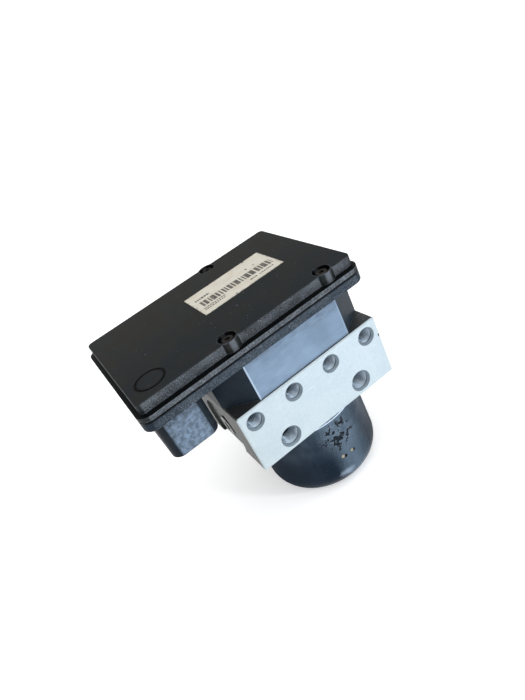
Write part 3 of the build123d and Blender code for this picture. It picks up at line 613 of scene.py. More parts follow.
@dataclass(frozen=True)
class GlossPaint(Finish):
    """Thick black gloss over a drawn steel can, blistered and chipped.

    A place on the can is told by its arc from the front, in millimetres, and
    its height.

    Args:
        clean: The clean paint.
        sheen_and_scuffing: The painted reflection's colour, which scuffed paint takes too.
        pit_and_shadow: The bottoms of the blisters, and the painted shadows beside the chips.
        bare: Where the paint is rubbed away, and the painted highlight near the foot.
        primer: The pale chips.
        radius: The can's own radius.
        band: Middle and half width of the band of painted reflection, along the arc.
        lean: How far the band leans over for each millimetre of height.
        lighter_z: Between which heights the paint grows lighter towards the top.
        patch: The blistered patch.
        foot_highlight: The painted highlight near the foot.
        chips: Arc, height and radius of each pale chip.
        flank: Between which arcs the gloss fades to the sides.
        shine: How strongly it mirrors, where 0.5 is plain plastic.
    """

    name: str = "chipped_gloss_paint"
    clean: Colour = (0.005, 0.012, 0.023)
    sheen_and_scuffing: Colour = (0.080, 0.114, 0.150)
    pit_and_shadow: Colour = (0.002, 0.004, 0.007)
    bare: Colour = (0.24, 0.30, 0.38)
    primer: Colour = (0.30, 0.27, 0.19)
    radius: float = 37.5
    band: Flat = (3.0, 19.0)
    lean: float = 0.12
    lighter_z: Flat = (22.0, 54.0)
    patch: Spot = Spot((0.0, 43.0), (13.0, 13.5), 1.4)
    foot_highlight: Spot = Spot((-4.0, 13.0), (8.0, 4.0), 0.9)
    chips: tuple[Point, ...] = ((-3.2, 26.0, 1.4), (4.0, 25.5, 1.1))
    flank: Flat = (20.0, 45.0)
    shine: float = 0.05

    def chipped(self, arc: Wire, z: Wire, ragged: Wire) -> tuple[Number, Number]:
        """Chips the paint, and paints a shadow at each chip's lower right.

        Args:
            arc: Where a place is round the can.
            z: Its height.
            ragged: The noise that roughens the chips.

        Returns:
            The masks of the chips and of their painted shadows.
        """
        chips: Number = 0.0
        chip_shadows: Number = 0.0
        for middle, height, radius in self.chips:
            size = (radius, radius)
            chip = Spot((middle, height), size, 0.7)
            # Painted shadow, set off to the chip's lower right.
            rim = Spot((middle + 1.3 * radius, height - 0.5 * radius), size, 0.7)
            chips = chip.away(arc, z, ragged).rise(1.0, 0.75) + chips
            chip_shadows = rim.away(arc, z, ragged).rise(1.1, 0.7) + chip_shadows
        return chips, chip_shadows

    def sheen_and_scuffs(self, graph: Graph, arc: Wire, smears: Wire) -> Wire:
        """Mixes in a painted reflection, most in the band, a lighter tone towards the top, and
        faint smears.

        Args:
            graph: The graph to add to.
            arc: Where a place is round the can.
            smears: The noise of the smears.

        Returns:
            How much of the painted reflection's colour shows.
        """
        z = graph.xyz[2]
        cloud = graph.noise(0.09, 5.0).rise(0.32, 0.68)
        middle, half = self.band
        leaning = (z - 25.0) * self.lean + (smears - 0.5) * 6.0
        band = abs(arc - middle + leaning).rise(half, 3.0)
        # The paint grows lighter towards the top.
        towards_top = z.rise(*self.lighter_z)
        # Painted reflection: a broad sheen down the can, leaning with height.
        in_band = band * (smears * 0.2 + cloud * 0.25 + 0.5)
        return in_band + towards_top * (cloud * 0.3 + 0.2) + smears * 0.06

    def paint(self, graph: Graph) -> None:
        """Fills the graph with this finish.

        Args:
            graph: The graph to fill.
        """
        x, y, z = graph.xyz
        arc = x.bearing(0.0 - y) * self.radius
        ragged = graph.noise(0.30, 4.0)
        lifted = graph.noise(0.34, 6.0)
        dust = graph.noise(0.9, 6.0).rise(0.58, 0.72)
        smears = graph.noise(0.10, 4.0, (1.0, 1.0, 0.35)).rise(0.35, 0.75)

        patch = self.patch.away(arc, z, ragged).rise(1.05, 0.6)
        flakes = lifted.rise(0.51, 0.545) * patch
        halo = lifted.rise(0.46, 0.50) * patch
        foot_highlight = self.foot_highlight.away(arc, z, ragged).rise(1.0, 0.1)
        chips, chip_shadows = self.chipped(arc, z, ragged)

        sheen_and_scuffs = self.sheen_and_scuffs(graph, arc, smears) + dust * 0.08
        # Painted reflection, with scuffed paint and dust.
        colour = graph.blend(sheen_and_scuffs, self.clean, self.sheen_and_scuffing)
        # Painted highlight on the can's lower rounding.
        colour = graph.blend(foot_highlight * 0.85, colour, self.bare)
        colour = graph.blend(halo * 0.30, colour, self.bare)
        colour = graph.blend(flakes * 0.95, colour, self.pit_and_shadow)
        colour = graph.blend(graph.edges(0.5) * 0.4, colour, self.bare)
        # Painted shadows beside the chips.
        colour = graph.blend(chip_shadows, colour, self.pit_and_shadow)
        colour = graph.blend(chips, colour, self.primer)

        roughness = smears * 0.14 + dust * 0.14 + flakes * 0.20 + chips * 0.4
        roughness = roughness + abs(arc).rise(*self.flank) * 0.4 + 0.22
        peel = graph.relief(graph.noise(0.35, 2.0), 0.05)
        normal = graph.relief(0.0 - flakes - chips * 0.8, 0.5, peel)
        graph.surface(colour, roughness, 0.0, normal, {"Specular IOR Level": self.shine})


@dataclass(frozen=True)
class MouldedPlastic(Finish):
    """A moulded shell with pale dust caught in its grain, and walls in front and behind painted
    pale as lit from the front.

    Args:
        clean: The plastic.
        warm: Its faint mottling, and a painted warm reflection towards the back.
        dirt_and_shade: A dark groove, and painted shade in the gap, the wells and on the sunk
            faces.
        dust: The dust.
        wall_dust_and_light: How much of the dust shows on the walls in front and behind, 0 to 1,
            raised there as painted light.
        level_dust: How much of it shows elsewhere.
        contrast: How sharply the dust breaks into specks, from 0 to 1.
        roughness: Its middle roughness.
        grain: The depth of the moulded grain, in millimetres.
        shine: How strongly it mirrors, where 0.5 is plain plastic.
        wells: Place and radius of each screw's well, painted dark as shade.
        ring: Centre and radius of a moulded ring whose groove is painted dark.
        sunk_below: Height under which its level faces are painted dark as shade.
        gap_above: Height over which it is painted dark as shade in the gap.
        lit_below: Height under which the walls in front and behind are painted pale as lit.
        lit_wall: The plastic's painted lit colour on those walls.
        worn: The painted highlight on the upright corners in front.
        highlight_corner: How far from the middle those corners are.
        shroud_edge: Between which places across the connector's shroud begins.
        shroud_middle: Where the middle of the shroud is, across.
    """

    name: str = "moulded_plastic"
    clean: Colour = (0.012, 0.021, 0.032)
    warm: Colour = (0.018, 0.024, 0.032)
    dirt_and_shade: Colour = (0.004, 0.005, 0.006)
    dust: Colour = (0.25, 0.29, 0.34)
    wall_dust_and_light: float = 0.40
    level_dust: float = 0.05
    contrast: float = 0.70
    roughness: float = 0.42
    grain: float = 0.02
    shine: float = 0.05
    wells: tuple[Point, ...] = ()
    ring: Point | None = None
    sunk_below: float | None = None
    gap_above: float | None = None
    lit_below: float | None = None
    lit_wall: Colour = (0.22, 0.31, 0.43)
    worn: Colour = (0.40, 0.50, 0.62)
    highlight_corner: float = 31.5
    shroud_edge: Flat = (-50.0, -55.0)
    shroud_middle: float = -71.75

    def dusting(self, graph: Graph, speck: Wire, amount: Wire) -> Wire:
        """Dusts the plastic: specks that gather in clumps, over a thin film.

        Args:
            graph: The graph to add to.
            speck: The noise of the specks.
            amount: How much of the dust shows.

        Returns:
            How much of its colour shows.
        """
        clump = graph.noise(0.16, 4.0).rise(0.50, 0.70)
        film = graph.noise(0.12, 3.0, (0.5, 0.5, 1.4)).rise(0.25, 0.75)
        specks = speck * (0.65 + clump * 0.7) * self.contrast
        return (specks + film * (1.0 - self.contrast)) * amount

    def light_walls(self, graph: Graph, colour: Wire, front: Wire, patches: Wire) -> Wire:
        """Paints the walls under the flange pale as lit, the shroud's unevenly.

        Args:
            graph: The graph to add to.
            colour: The colour so far.
            front: The mask of the walls in front and behind.
            patches: The mottling, from 0 to 1.

        Returns:
            The colour with its painted lit walls.
        """
        x, y, z = graph.xyz
        flange = self.lit_below
        # Painted shadow: a thin strip just under the flange is left unlit.
        below = z.rise(flange - 1.6, flange - 3.2)

        # The shroud's wall is painted lit in blotches, less at its rounded ends and in the
        # flange's shade, and the rest of the shroud is painted darker as shade.
        shroud = x.rise(*self.shroud_edge)
        blotches = graph.noise(0.42, 8.0).rise(0.32, 0.68)
        rounded = abs(x - self.shroud_middle).rise(7.0, 14.5)
        shaded = z.rise(flange - 8.0, flange - 3.5)
        shroud_unlit = shroud * (0.70 - blotches * 0.50 + rounded * 0.34 + shaded * 0.22)
        # Painted shade over the shroud under the flange.
        colour = graph.blend(shroud * below * 0.55, colour, self.dirt_and_shade)

        # The skirt's wall is painted lit and wiped along its length, with stain patches and
        # painted shade under the flange.
        brushed = graph.noise(0.5, 5.0, (0.15, 1.0, 1.6))
        smeared = brushed * 0.32 + patches * 0.20 + 0.60
        # Painted shade and stain patches, darker towards the flange.
        towards_flange = z.rise(flange - 12.0, flange - 4.0) * 0.34
        shade_and_stains = towards_flange * graph.noise(0.16, 7.0, (0.8, 1.0, 2.6)).rise(0.42, 0.64)
        dimmer_right = x.rise(-12.0, 34.0) * 0.15
        pale = front * below * smeared * (1.0 - shroud_unlit) * (1.0 - shade_and_stains - dimmer_right)
        # Painted light: the walls in front and behind, pale as lit from the front, dimmer towards
        # the right.
        colour = graph.blend(pale, colour, self.lit_wall)

        # Its upright corners in front get a painted highlight, most at the left.
        corners = abs(abs(x) - self.highlight_corner).rise(0.7, 0.4) * y.rise(-20.0, -30.0)
        more_at_left = x.rise(10.0, -10.0) * 0.75 + 0.25
        corners = corners * below * front * more_at_left
        return graph.blend(corners, colour, self.worn)

    def dirt_and_shade_mask(self, graph: Graph) -> Number:
        """Darkens the ring's groove, and paints shade on the sunk faces and in the gap.

        Args:
            graph: The graph to add to.

        Returns:
            The mask of the dark groove and of the painted shade.
        """
        x, y, z = graph.xyz
        dark: Number = 0.0
        if self.ring is not None:
            east, north, radius = self.ring
            groove = abs(length(x - east, y - north) - (radius - 0.4))
            dark = groove.rise(1.2, 0.7) + dark
        if self.sunk_below is not None:
            # Painted shade on the sunk level faces.
            level = graph.facing(2).rise(0.6, 0.9)
            sunk = z.rise(self.sunk_below, self.sunk_below - 0.3) * level
            dark = sunk * 0.85 + dark
        if self.gap_above is not None:
            # Painted shade in the gap under the cover.
            dark = z.rise(self.gap_above - 0.3, self.gap_above) * 0.9 + dark
        return dark

    def paint(self, graph: Graph) -> None:
        """Fills the graph with this finish.

        Args:
            graph: The graph to fill.
        """
        x, y, _ = graph.xyz
        front = graph.facing(1).rise(0.93, 0.995)
        mottle = graph.noise(0.07, 4.0)
        patches = mottle.rise(0.35, 0.65)
        speck = graph.noise(1.5, 7.0).rise(0.40, 0.68)

        # Painted reflection: the plastic turns warmer towards the back.
        back_reflection = y.rise(-30.0, 35.0)
        colour = graph.blend(patches * 0.5 + back_reflection * 0.5, self.clean, self.warm)
        if self.lit_below is not None:
            colour = self.light_walls(graph, colour, front, patches)

        # Painted light: the walls in front and behind show more of the dust's pale colour, as lit
        # from the front.
        amount = front * (self.wall_dust_and_light - self.level_dust) + self.level_dust
        dust_and_light = self.dusting(graph, speck, amount)
        dark = self.dirt_and_shade_mask(graph)
        for east, north, reach in self.wells:
            away = length(x - east, y - north)
            # Painted shade in each screw's well.
            dark = away.rise(reach + 0.1, reach - 0.1) + dark
            boss = away.rise(reach + 1.5, reach + 1.2)
            # Painted highlight: a pale upright stripe down the front of each boss.
            boss_highlight = graph.facing(1).rise(0.80, 1.0) * amount * 0.5
            dust_and_light = dust_and_light * (1.0 - boss) + boss_highlight * boss
        crumbs = graph.noise(0.55, 2.0).rise(0.745, 0.765) * graph.facing(2) * 0.5
        # Edges rubbed pale, partly wear and partly a painted highlight along them.
        rubbed = graph.edges(0.7) * graph.noise(0.5, 3.0).rise(0.30, 0.6) * 0.55
        colour = graph.blend(dust_and_light + crumbs, colour, self.dust)
        colour = graph.blend(rubbed, colour, self.dust)
        colour = graph.blend(dark, colour, self.dirt_and_shade)

        roughness = self.roughness + dust_and_light * 0.2 + (mottle - 0.5) * 0.16
        normal = graph.relief(graph.noise(2.6, 2.0) + speck * 0.5, self.grain)
        # Dirt and painted shade are given as a black metal, which has no pale sheen.
        graph.surface(colour, roughness, dark, normal, {"Specular IOR Level": self.shine})


@dataclass(frozen=True)
class Metal(Finish):
    """A plain metal that differs from the next by colour, wear and marks.

    Args:
        tone: The metal.
        tarnish: What darkens it.
        spread: How much of the tarnish shows, from 0 to 1.
        roughness: Its middle roughness.
        marks: The depth of its tool marks, in millimetres.
        turned: Whether the marks run round an upright axis.
        highlight_below: Height under which its lower rim gets a painted highlight.
        rubbed: The painted highlight on that rim.
    """

    tone: Colour
    tarnish: Colour
    spread: float
    roughness: float
    marks: float = 0.006
    turned: bool = True
    highlight_below: float | None = None
    rubbed: Colour = (0.55, 0.66, 0.78)

    def paint(self, graph: Graph) -> None:
        """Fills the graph with this finish.

        Args:
            graph: The graph to fill.
        """
        run = (0.25, 0.25, 5.0) if self.turned else (1.0, 1.0, 1.0)
        lines = graph.noise(1.4, 4.0, run)
        cloud = graph.noise(0.35, 5.0)
        spots = graph.noise(1.8, 3.0).rise(0.60, 0.72)
        worn = (cloud.rise(0.40, 0.70) * 0.8 + spots * 0.5) * self.spread
        colour = graph.blend(worn, self.tone, self.tarnish)
        if self.highlight_below is not None:
            # Painted highlight along the lower rim.
            height = graph.xyz[2] + (cloud - 0.5) * 0.8
            rim = height.rise(self.highlight_below, self.highlight_below - 0.2)
            colour = graph.blend(rim, colour, self.rubbed)
        roughness = self.roughness + (lines - 0.5) * 0.2 + worn * 0.25
        normal = graph.relief(lines - spots * 0.6, self.marks)
        graph.surface(colour, roughness, 1.0, normal)


@dataclass(frozen=True)
class Enamelled(Finish):
    """Enamelled copper: a clear amber skin over wire wound side by side.

    Args:
        wire_colour: The copper through the enamel.
        shade: The gaps between turns.
        pitch: Millimetres from turn to turn.
    """

    name: str = "enamelled_copper"
    wire_colour: Colour = (0.62, 0.24, 0.09)
    shade: Colour = (0.16, 0.05, 0.02)
    pitch: float = 0.5

    def paint(self, graph: Graph) -> None:
        """Fills the graph with this finish.

        Args:
            graph: The graph to fill.
        """
        waver = graph.noise(0.6, 2.0) * 3.0
        turn = (graph.xyz[2] * (math.tau / self.pitch) + waver).sine() * 0.5 + 0.5
        blotch = graph.noise(0.4, 4.0)
        colour = graph.blend(turn.rise(0.0, 0.5), self.shade, self.wire_colour)
        roughness = 0.25 + blotch * 0.2
        normal = graph.relief(turn, 0.08)
        graph.surface(colour, roughness, 0.85, normal, {"Coat Weight": 0.5})


@dataclass(frozen=True)
class Laminated(Finish):
    """A stack of stamped steel sheets.

    Args:
        tone: The sheet's edge.
        rust: Fine rust along the edges.
        pitch: The thickness of one sheet, in millimetres.
    """

    name: str = "laminated_steel"
    tone: Colour = (0.30, 0.30, 0.32)
    rust: Colour = (0.18, 0.12, 0.08)
    pitch: float = 0.6

    def paint(self, graph: Graph) -> None:
        """Fills the graph with this finish.

        Args:
            graph: The graph to fill.
        """
        sheet = (graph.xyz[2] * (math.tau / self.pitch)).sine() * 0.5 + 0.5
        cloud = graph.noise(0.3, 5.0).rise(0.48, 0.72)
        colour = graph.blend(cloud * 0.6, self.tone, self.rust)
        roughness = 0.38 + sheet * 0.12 + cloud * 0.2
        graph.surface(colour, roughness, 0.9, graph.relief(sheet, 0.05))


@dataclass(frozen=True)
class Matt(Finish):
    """Matt stuff, moulded or pressed: rubber, carbon, ferrite or plastic.

    Args:
        tone: Its colour.
        bloom: What lies on it.
        bloom_share: How much of the bloom shows, from 0 to 1.
        roughness: Its middle roughness.
        grain: The depth of its grain, in millimetres.
    """

    tone: Colour
    bloom: Colour
    bloom_share: float
    roughness: float
    grain: float = 0.02

    def paint(self, graph: Graph) -> None:
        """Fills the graph with this finish.

        Args:
            graph: The graph to fill.
        """
        cloud = graph.noise(0.25, 5.0).rise(0.40, 0.70)
        grit = graph.noise(2.2, 4.0)
        colour = graph.blend(cloud * self.bloom_share, self.tone, self.bloom)
        colour = graph.blend(grit.rise(0.6, 0.75) * self.bloom_share, colour, self.bloom)
        roughness = self.roughness + (grit - 0.5) * 0.2
        graph.surface(colour, roughness, 0.0, graph.relief(grit, self.grain))


@dataclass(frozen=True)
class LabelFilm(Finish):
    """An aged off-white film, stained, and nicked and rubbed at its edges.

    Args:
        film: The clean film.
        stain: Its yellowing.
        grime: Rubbed dirt.
        centre: The label's middle, as x and y.
        half: Its half length and half width.
        nicks: Place and radius of each nick in its rim.
    """

    name: str = "label_film"
    film: Colour = (0.68, 0.655, 0.57)
    stain: Colour = (0.58, 0.52, 0.42)
    grime: Colour = (0.12, 0.11, 0.10)
    centre: Flat = (0.8, 14.0)
    half: Flat = (27.75, 16.5)
    nicks: tuple[Point, ...] = ((-5.2, -1.9, 1.0), (17.1, 30.2, 1.3))

    def paint(self, graph: Graph) -> None:
        """Fills the graph with this finish.

        Args:
            graph: The graph to fill.
        """
        x, y, _ = graph.xyz
        from_end = self.half[0] - abs(x - self.centre[0])
        from_side = self.half[1] - abs(y - self.centre[1])
        rim = from_end.smaller(from_side)
        cloud = graph.noise(0.12, 4.0).rise(0.35, 0.70)
        fibre = graph.noise(1.2, 4.0)
        ragged = graph.noise(0.45, 5.0)
        rubbed = (rim + (ragged - 0.5) * 6.0).rise(0.9, -0.4)
        colour = graph.blend(cloud * 0.55 + fibre * 0.2, self.film, self.stain)
        colour = graph.blend(rubbed * 0.45, colour, self.grime)
        for east, north, reach in self.nicks:
            away = length(x - east, y - north) + (ragged - 0.5) * 2.0
            colour = graph.blend(away.rise(reach, reach * 0.6), colour, self.grime)
        roughness = 0.42 + cloud * 0.12 + rubbed * 0.2
        graph.surface(colour, roughness, 0.0, graph.relief(cloud + fibre * 0.3, 0.02))


@dataclass(frozen=True)
class Ink(Finish):
    """Thin, worn print on the label.

    Args:
        ink: The ink.
        worn: The ink where it is rubbed.
    """

    name: str = "worn_ink"
    ink: Colour = (0.055, 0.05, 0.048)
    worn: Colour = (0.20, 0.18, 0.155)

    def paint(self, graph: Graph) -> None:
        """Fills the graph with this finish.

        Args:
            graph: The graph to fill.
        """
        rubbed = graph.noise(0.7, 5.0).rise(0.38, 0.66)
        colour = graph.blend(rubbed, self.ink, self.worn)
        graph.surface(colour, 0.45 + rubbed * 0.15, 0.0, graph.relief(rubbed, 0.01))


@dataclass(frozen=True)
class Board(Finish):
    """A circuit board's solder mask over its copper tracks.

    Args:
        mask: The mask over bare laminate.
        track: The mask over copper.
        pitch: Millimetres from track to track.
    """

    name: str = "solder_mask"
    mask: Colour = (0.012, 0.10, 0.04)
    track: Colour = (0.03, 0.19, 0.08)
    pitch: float = 2.4

    def paint(self, graph: Graph) -> None:
        """Fills the graph with this finish.

        Args:
            graph: The graph to fill.
        """
        bent = graph.xyz[0] + graph.cells(0.06) * 9.0
        track = (bent * (math.tau / self.pitch)).sine().rise(0.35, 0.6)
        colour = graph.blend(track, self.mask, self.track)
        roughness = 0.30 + graph.noise(0.8, 3.0) * 0.15
        graph.surface(colour, roughness, 0.0, graph.relief(track, 0.04))


@dataclass(frozen=True)
class Ground(Finish):
    """The pale studio floor.

    Args:
        tone: Its colour.
        shaded: Its faint clouding.
        glow: How brightly it shines of itself, as a sweep lit from behind does.
    """

    name: str = "pale_floor"
    tone: Colour = (0.90, 0.90, 0.90)
    shaded: Colour = (0.8865, 0.8865, 0.8865)
    glow: float = 0.40

    def paint(self, graph: Graph) -> None:
        """Fills the graph with this finish.

        Args:
            graph: The graph to fill.
        """
        colour = graph.blend(graph.noise(0.004, 2.0), self.tone, self.shaded)
        fixed: Sockets = {
            "Emission Color": (1.0, 1.0, 1.0),
            "Emission Strength": self.glow,
        }
        graph.surface(colour, 0.85, 0.0, None, fixed)


# ---------------------------------------------------------------- mesh helpers


def add_to_scene(held: bpy.types.Object) -> bpy.types.Object:
    """Puts an object in the scene and hands it back."""
    bpy.context.scene.collection.objects.link(held)
    return held


def dress(finish: Finish, *names: str) -> None:
    """Gives solids a finish.

    Args:
        finish: The finish.
        names: The nodes that wear it.
    """
    material = finish.material()
    for name in names:
        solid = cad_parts[name]
        if not solid.material_slots:
            solid.data.materials.append(None)
        for slot in solid.material_slots:
            slot.material = material
        log.info("%s wears %s", name, finish.name)


def piece(
    name: str,
    points: Iterable[Point],
    faces: Iterable[Sequence[int]],
    material: bpy.types.Material,
    smooth: bool = False,
) -> None:
    """Makes a mesh that rides on the fixed body.

    Args:
        name: The piece's name.
        points: Its points, in millimetres in the part's frame.
        faces: Its faces, each a run of point numbers.
        material: What it is made of.
        smooth: Whether its faces shade into each other.
    """
    mesh = bpy.data.meshes.new(name)
    mesh.from_pydata([Vector(point) * MM for point in points], [], list(faces))
    mesh.materials.append(material)
    mesh.polygons.foreach_set("use_smooth", [smooth] * len(mesh.polygons))
    mesh.update()
    made = add_to_scene(bpy.data.objects.new(name, mesh))
    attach(made, "root")
    log.info("%s has %d faces", name, len(mesh.polygons))


def both(stem: str) -> tuple[str, str]:
    """The names of a left and a right node."""
    return f"{stem}_left", f"{stem}_right"


# --------------------------------------------------------------- sub-assemblies


@dataclass(frozen=True)
class Hole:
    """One threaded hole that runs along the part's depth.

    Args:
        x: Its axis, across the block.
        z: Its axis, above the motor's end.
        mouth: Where its thread starts, along y.
        way: 1 where it runs to the back, -1 where it runs to the front.
        radius: The drilled radius.
        length: How much of it is threaded.
        pitch: Millimetres from turn to turn.
        height: How far the thread stands in from the drilled wall, in pitches.
        foot: Half the thread's width at the wall, in pitches.
        crest: Half its width at the top, in pitches.
        clear: How far the thread's foot is kept off the wall, in millimetres.
        steps: Sections in each turn.
    """

    x: float
    z: float
    mouth: float
    way: int
    radius: float
    length: float
    pitch: float = 1.0
    height: float = 0.45
    foot: float = 0.32
    crest: float = 0.08
    clear: float = 0.01
    steps: int = 40

    def ridge(self) -> tuple[list[Point], list[tuple[int, ...]]]:
        """The thread as one ridge wound round the drilled wall.

        It starts and ends at nothing, and reaches its full height in one turn.

        Returns:
            The ridge's points and faces.
        """
        wall = self.radius - self.clear
        top = self.radius - self.height * self.pitch
        section = (
            (wall, -self.foot),
            (top, -self.crest),
            (top, self.crest),
            (wall, self.foot),
        )
        count = int((self.length / self.pitch - 1.0) * self.steps)
        points: list[Point] = []
        for step in range(count + 1):
            turns = step / self.steps
            angle = math.tau * turns
            share = min(1.0, turns, (count - step) / self.steps)
            for radius, shift in section:
                reach = wall - (wall - radius) * share
                along = (turns + 0.5 + shift) * self.pitch
                points.append(
                    (
                        self.x + reach * math.cos(angle),
                        self.mouth + self.way * along,
                        self.z + reach * math.sin(angle),
                    )
                )
        faces: list[tuple[int, ...]] = []
        corners = len(section)
        for step in range(count):
            for side in range(corners - 1):
                near = corners * step + side
                far = near + corners
                faces.append((near, near + 1, far + 1, far))
        return points, faces


@dataclass
class HydraulicBlock:
    """The drilled block, its plugs and caps, and the valves in it.

    Args:
        ports: The ports right of the middle: two for the wheels above one for the
            master cylinder, each from its countersink inwards.
        bracket_hole: The bracket's hole right of the middle, in the back.
        valve_rows: The rows of valves, by the stems of their plungers' names.
        valves: How many valves each row has.
        finish: What the block itself wears.
    """

    ports: tuple[Hole, ...] = (
        Hole(x=13.5, z=90.4, mouth=-38.3, way=1, radius=4.5, length=11.5),
        Hole(x=40.5, z=90.4, mouth=-38.3, way=1, radius=4.5, length=11.5),
        Hole(x=26.8, z=66.7, mouth=-38.3, way=1, radius=5.5, length=11.5),
    )
    bracket_hole: Hole = Hole(x=43.0, z=66.0, mouth=47.7, way=-1, radius=2.5, length=9.0)
    valve_rows: tuple[str, ...] = ("inlet_plunger", "outlet_plunger")
    valves: int = 4
    finish: Finish = MachinedAluminium()

    def build(self) -> None:
        """Winds the threads, each hole's left twin before the right one."""
        thread = Metal(
            "thread_metal",
            tone=(0.52, 0.62, 0.71),
            tarnish=(0.36, 0.40, 0.44),
            spread=0.4,
            roughness=0.45,
            marks=0.004,
        ).material()
        holes = [
            replace(hole, x=side * hole.x)
            for hole in (*self.ports, self.bracket_hole)
            for side in (-1, 1)
        ]
        for number, hole in enumerate(holes, 1):
            points, faces = hole.ridge()
            piece(f"hole_thread_{number}", points, faces, thread, smooth=True)

    def dress(self) -> None:
        """Finishes the block and everything in it."""
        dress(self.finish, "valve_block")
        dress(
            Metal(
                "dark_zinc",
                tone=(0.20, 0.20, 0.20),
                tarnish=(0.07, 0.07, 0.07),
                spread=0.6,
                roughness=0.40,
            ),
            "pump_plugs",
        )
        dress(
            Metal(
                "turned_aluminium",
                tone=(0.66, 0.67, 0.68),
                tarnish=(0.36, 0.36, 0.36),
                spread=0.4,
                roughness=0.30,
            ),
            *both("accumulator_piston"),
            "accumulator_caps",
        )
        plungers = [
            f"{row}_{number}"
            for row in self.valve_rows
            for number in range(1, self.valves + 1)
        ]
        dress(
            Metal(
                "ground_steel",
                tone=(0.56, 0.56, 0.57),
                tarnish=(0.28, 0.27, 0.26),
                spread=0.3,
                roughness=0.24,
            ),
            *both("pump_piston"),
            "inlet_valves",
            "outlet_valves",
            *plungers,
        )
        dress(
            Metal(
                "drawn_wire",
                tone=(0.42, 0.42, 0.44),
                tarnish=(0.18, 0.15, 0.12),
                spread=0.5,
                roughness=0.30,
                marks=0.004,
                turned=False,
            ),
            *both("pump_spring"),
            *both("accumulator_spring"),
            "brush_springs",
        )
        dress(
            Matt(
                "seal_rubber",
                tone=(0.018, 0.018, 0.018),
                bloom=(0.07, 0.07, 0.07),
                bloom_share=0.3,
                roughness=0.62,
            ),
            *both("accumulator_seal"),
            "motor_seal_ring",
            "housing_seal",
            "cover_gasket",
        )


@dataclass
class Motor:
    """The drawn can with the pump motor in it.

    Args:
        lip_highlight_below: Height under which the end plate's rim gets a painted highlight.
        finish: What the can wears.
    """

    lip_highlight_below: float = 56.3
    finish: Finish = GlossPaint()

    def dress(self) -> None:
        """Finishes the can, its end plate and the motor's inside."""
        dress(self.finish, "motor_can")
        dress(
            Metal(
                "cast_plate",
                tone=(0.13, 0.16, 0.19),
                tarnish=(0.06, 0.07, 0.09),
                spread=0.5,
                roughness=0.42,
                marks=0.02,
                turned=False,
                highlight_below=self.lip_highlight_below,
            ),
            "motor_end_plate",
        )
        dress(
            Metal(
                "shaft_steel",
                tone=(0.58, 0.58, 0.58),
                tarnish=(0.30, 0.28, 0.26),
                spread=0.25,
                roughness=0.20,
            ),
            "motor_shaft",
            "eccentric_bearing",
            "bearing_outer_ring",
            "bearing_inner_ring",
        )
        dress(Laminated(), "armature_core", "coil_yokes")
        dress(Enamelled(), "armature_winding", "valve_coils")
        dress(
            Metal(
                "bar_copper",
                tone=(0.74, 0.36, 0.20),
                tarnish=(0.26, 0.12, 0.08),
                spread=0.5,
                roughness=0.26,
            ),
            "commutator",
        )
        dress(
            Metal(
                "sintered_bronze",
                tone=(0.58, 0.40, 0.20),
                tarnish=(0.24, 0.15, 0.08),
                spread=0.5,
                roughness=0.45,
                marks=0.02,
                turned=False,
            ),
            "rear_bush",
        )
        dress(
            Matt(
                "sintered_ferrite",
                tone=(0.07, 0.07, 0.075),
                bloom=(0.16, 0.15, 0.15),
                bloom_share=0.4,
                roughness=0.55,
                grain=0.03,
            ),
            "field_magnets",
        )
        dress(
            Matt(
                "pressed_carbon",
                tone=(0.03, 0.03, 0.032),
                bloom=(0.10, 0.10, 0.10),
                bloom_share=0.4,
                roughness=0.45,
            ),
            "carbon_brushes",
        )
        dress(
            Matt(
                "inner_plastic",
                tone=(0.085, 0.075, 0.065),
                bloom=(0.16, 0.15, 0.14),
                bloom_share=0.3,
                roughness=0.42,
                grain=0.015,
            ),
            "brush_holder",
            "lead_sleeve",
            "connector_insert",
        )
        dress(
            Metal(
                "tinned_contact",
                tone=(0.72, 0.70, 0.64),
                tarnish=(0.36, 0.34, 0.30),
                spread=0.4,
                roughness=0.26,
                marks=0.004,
                turned=False,
            ),
            "lead_pins",
            "coil_terminals",
            "connector_pins",
        )


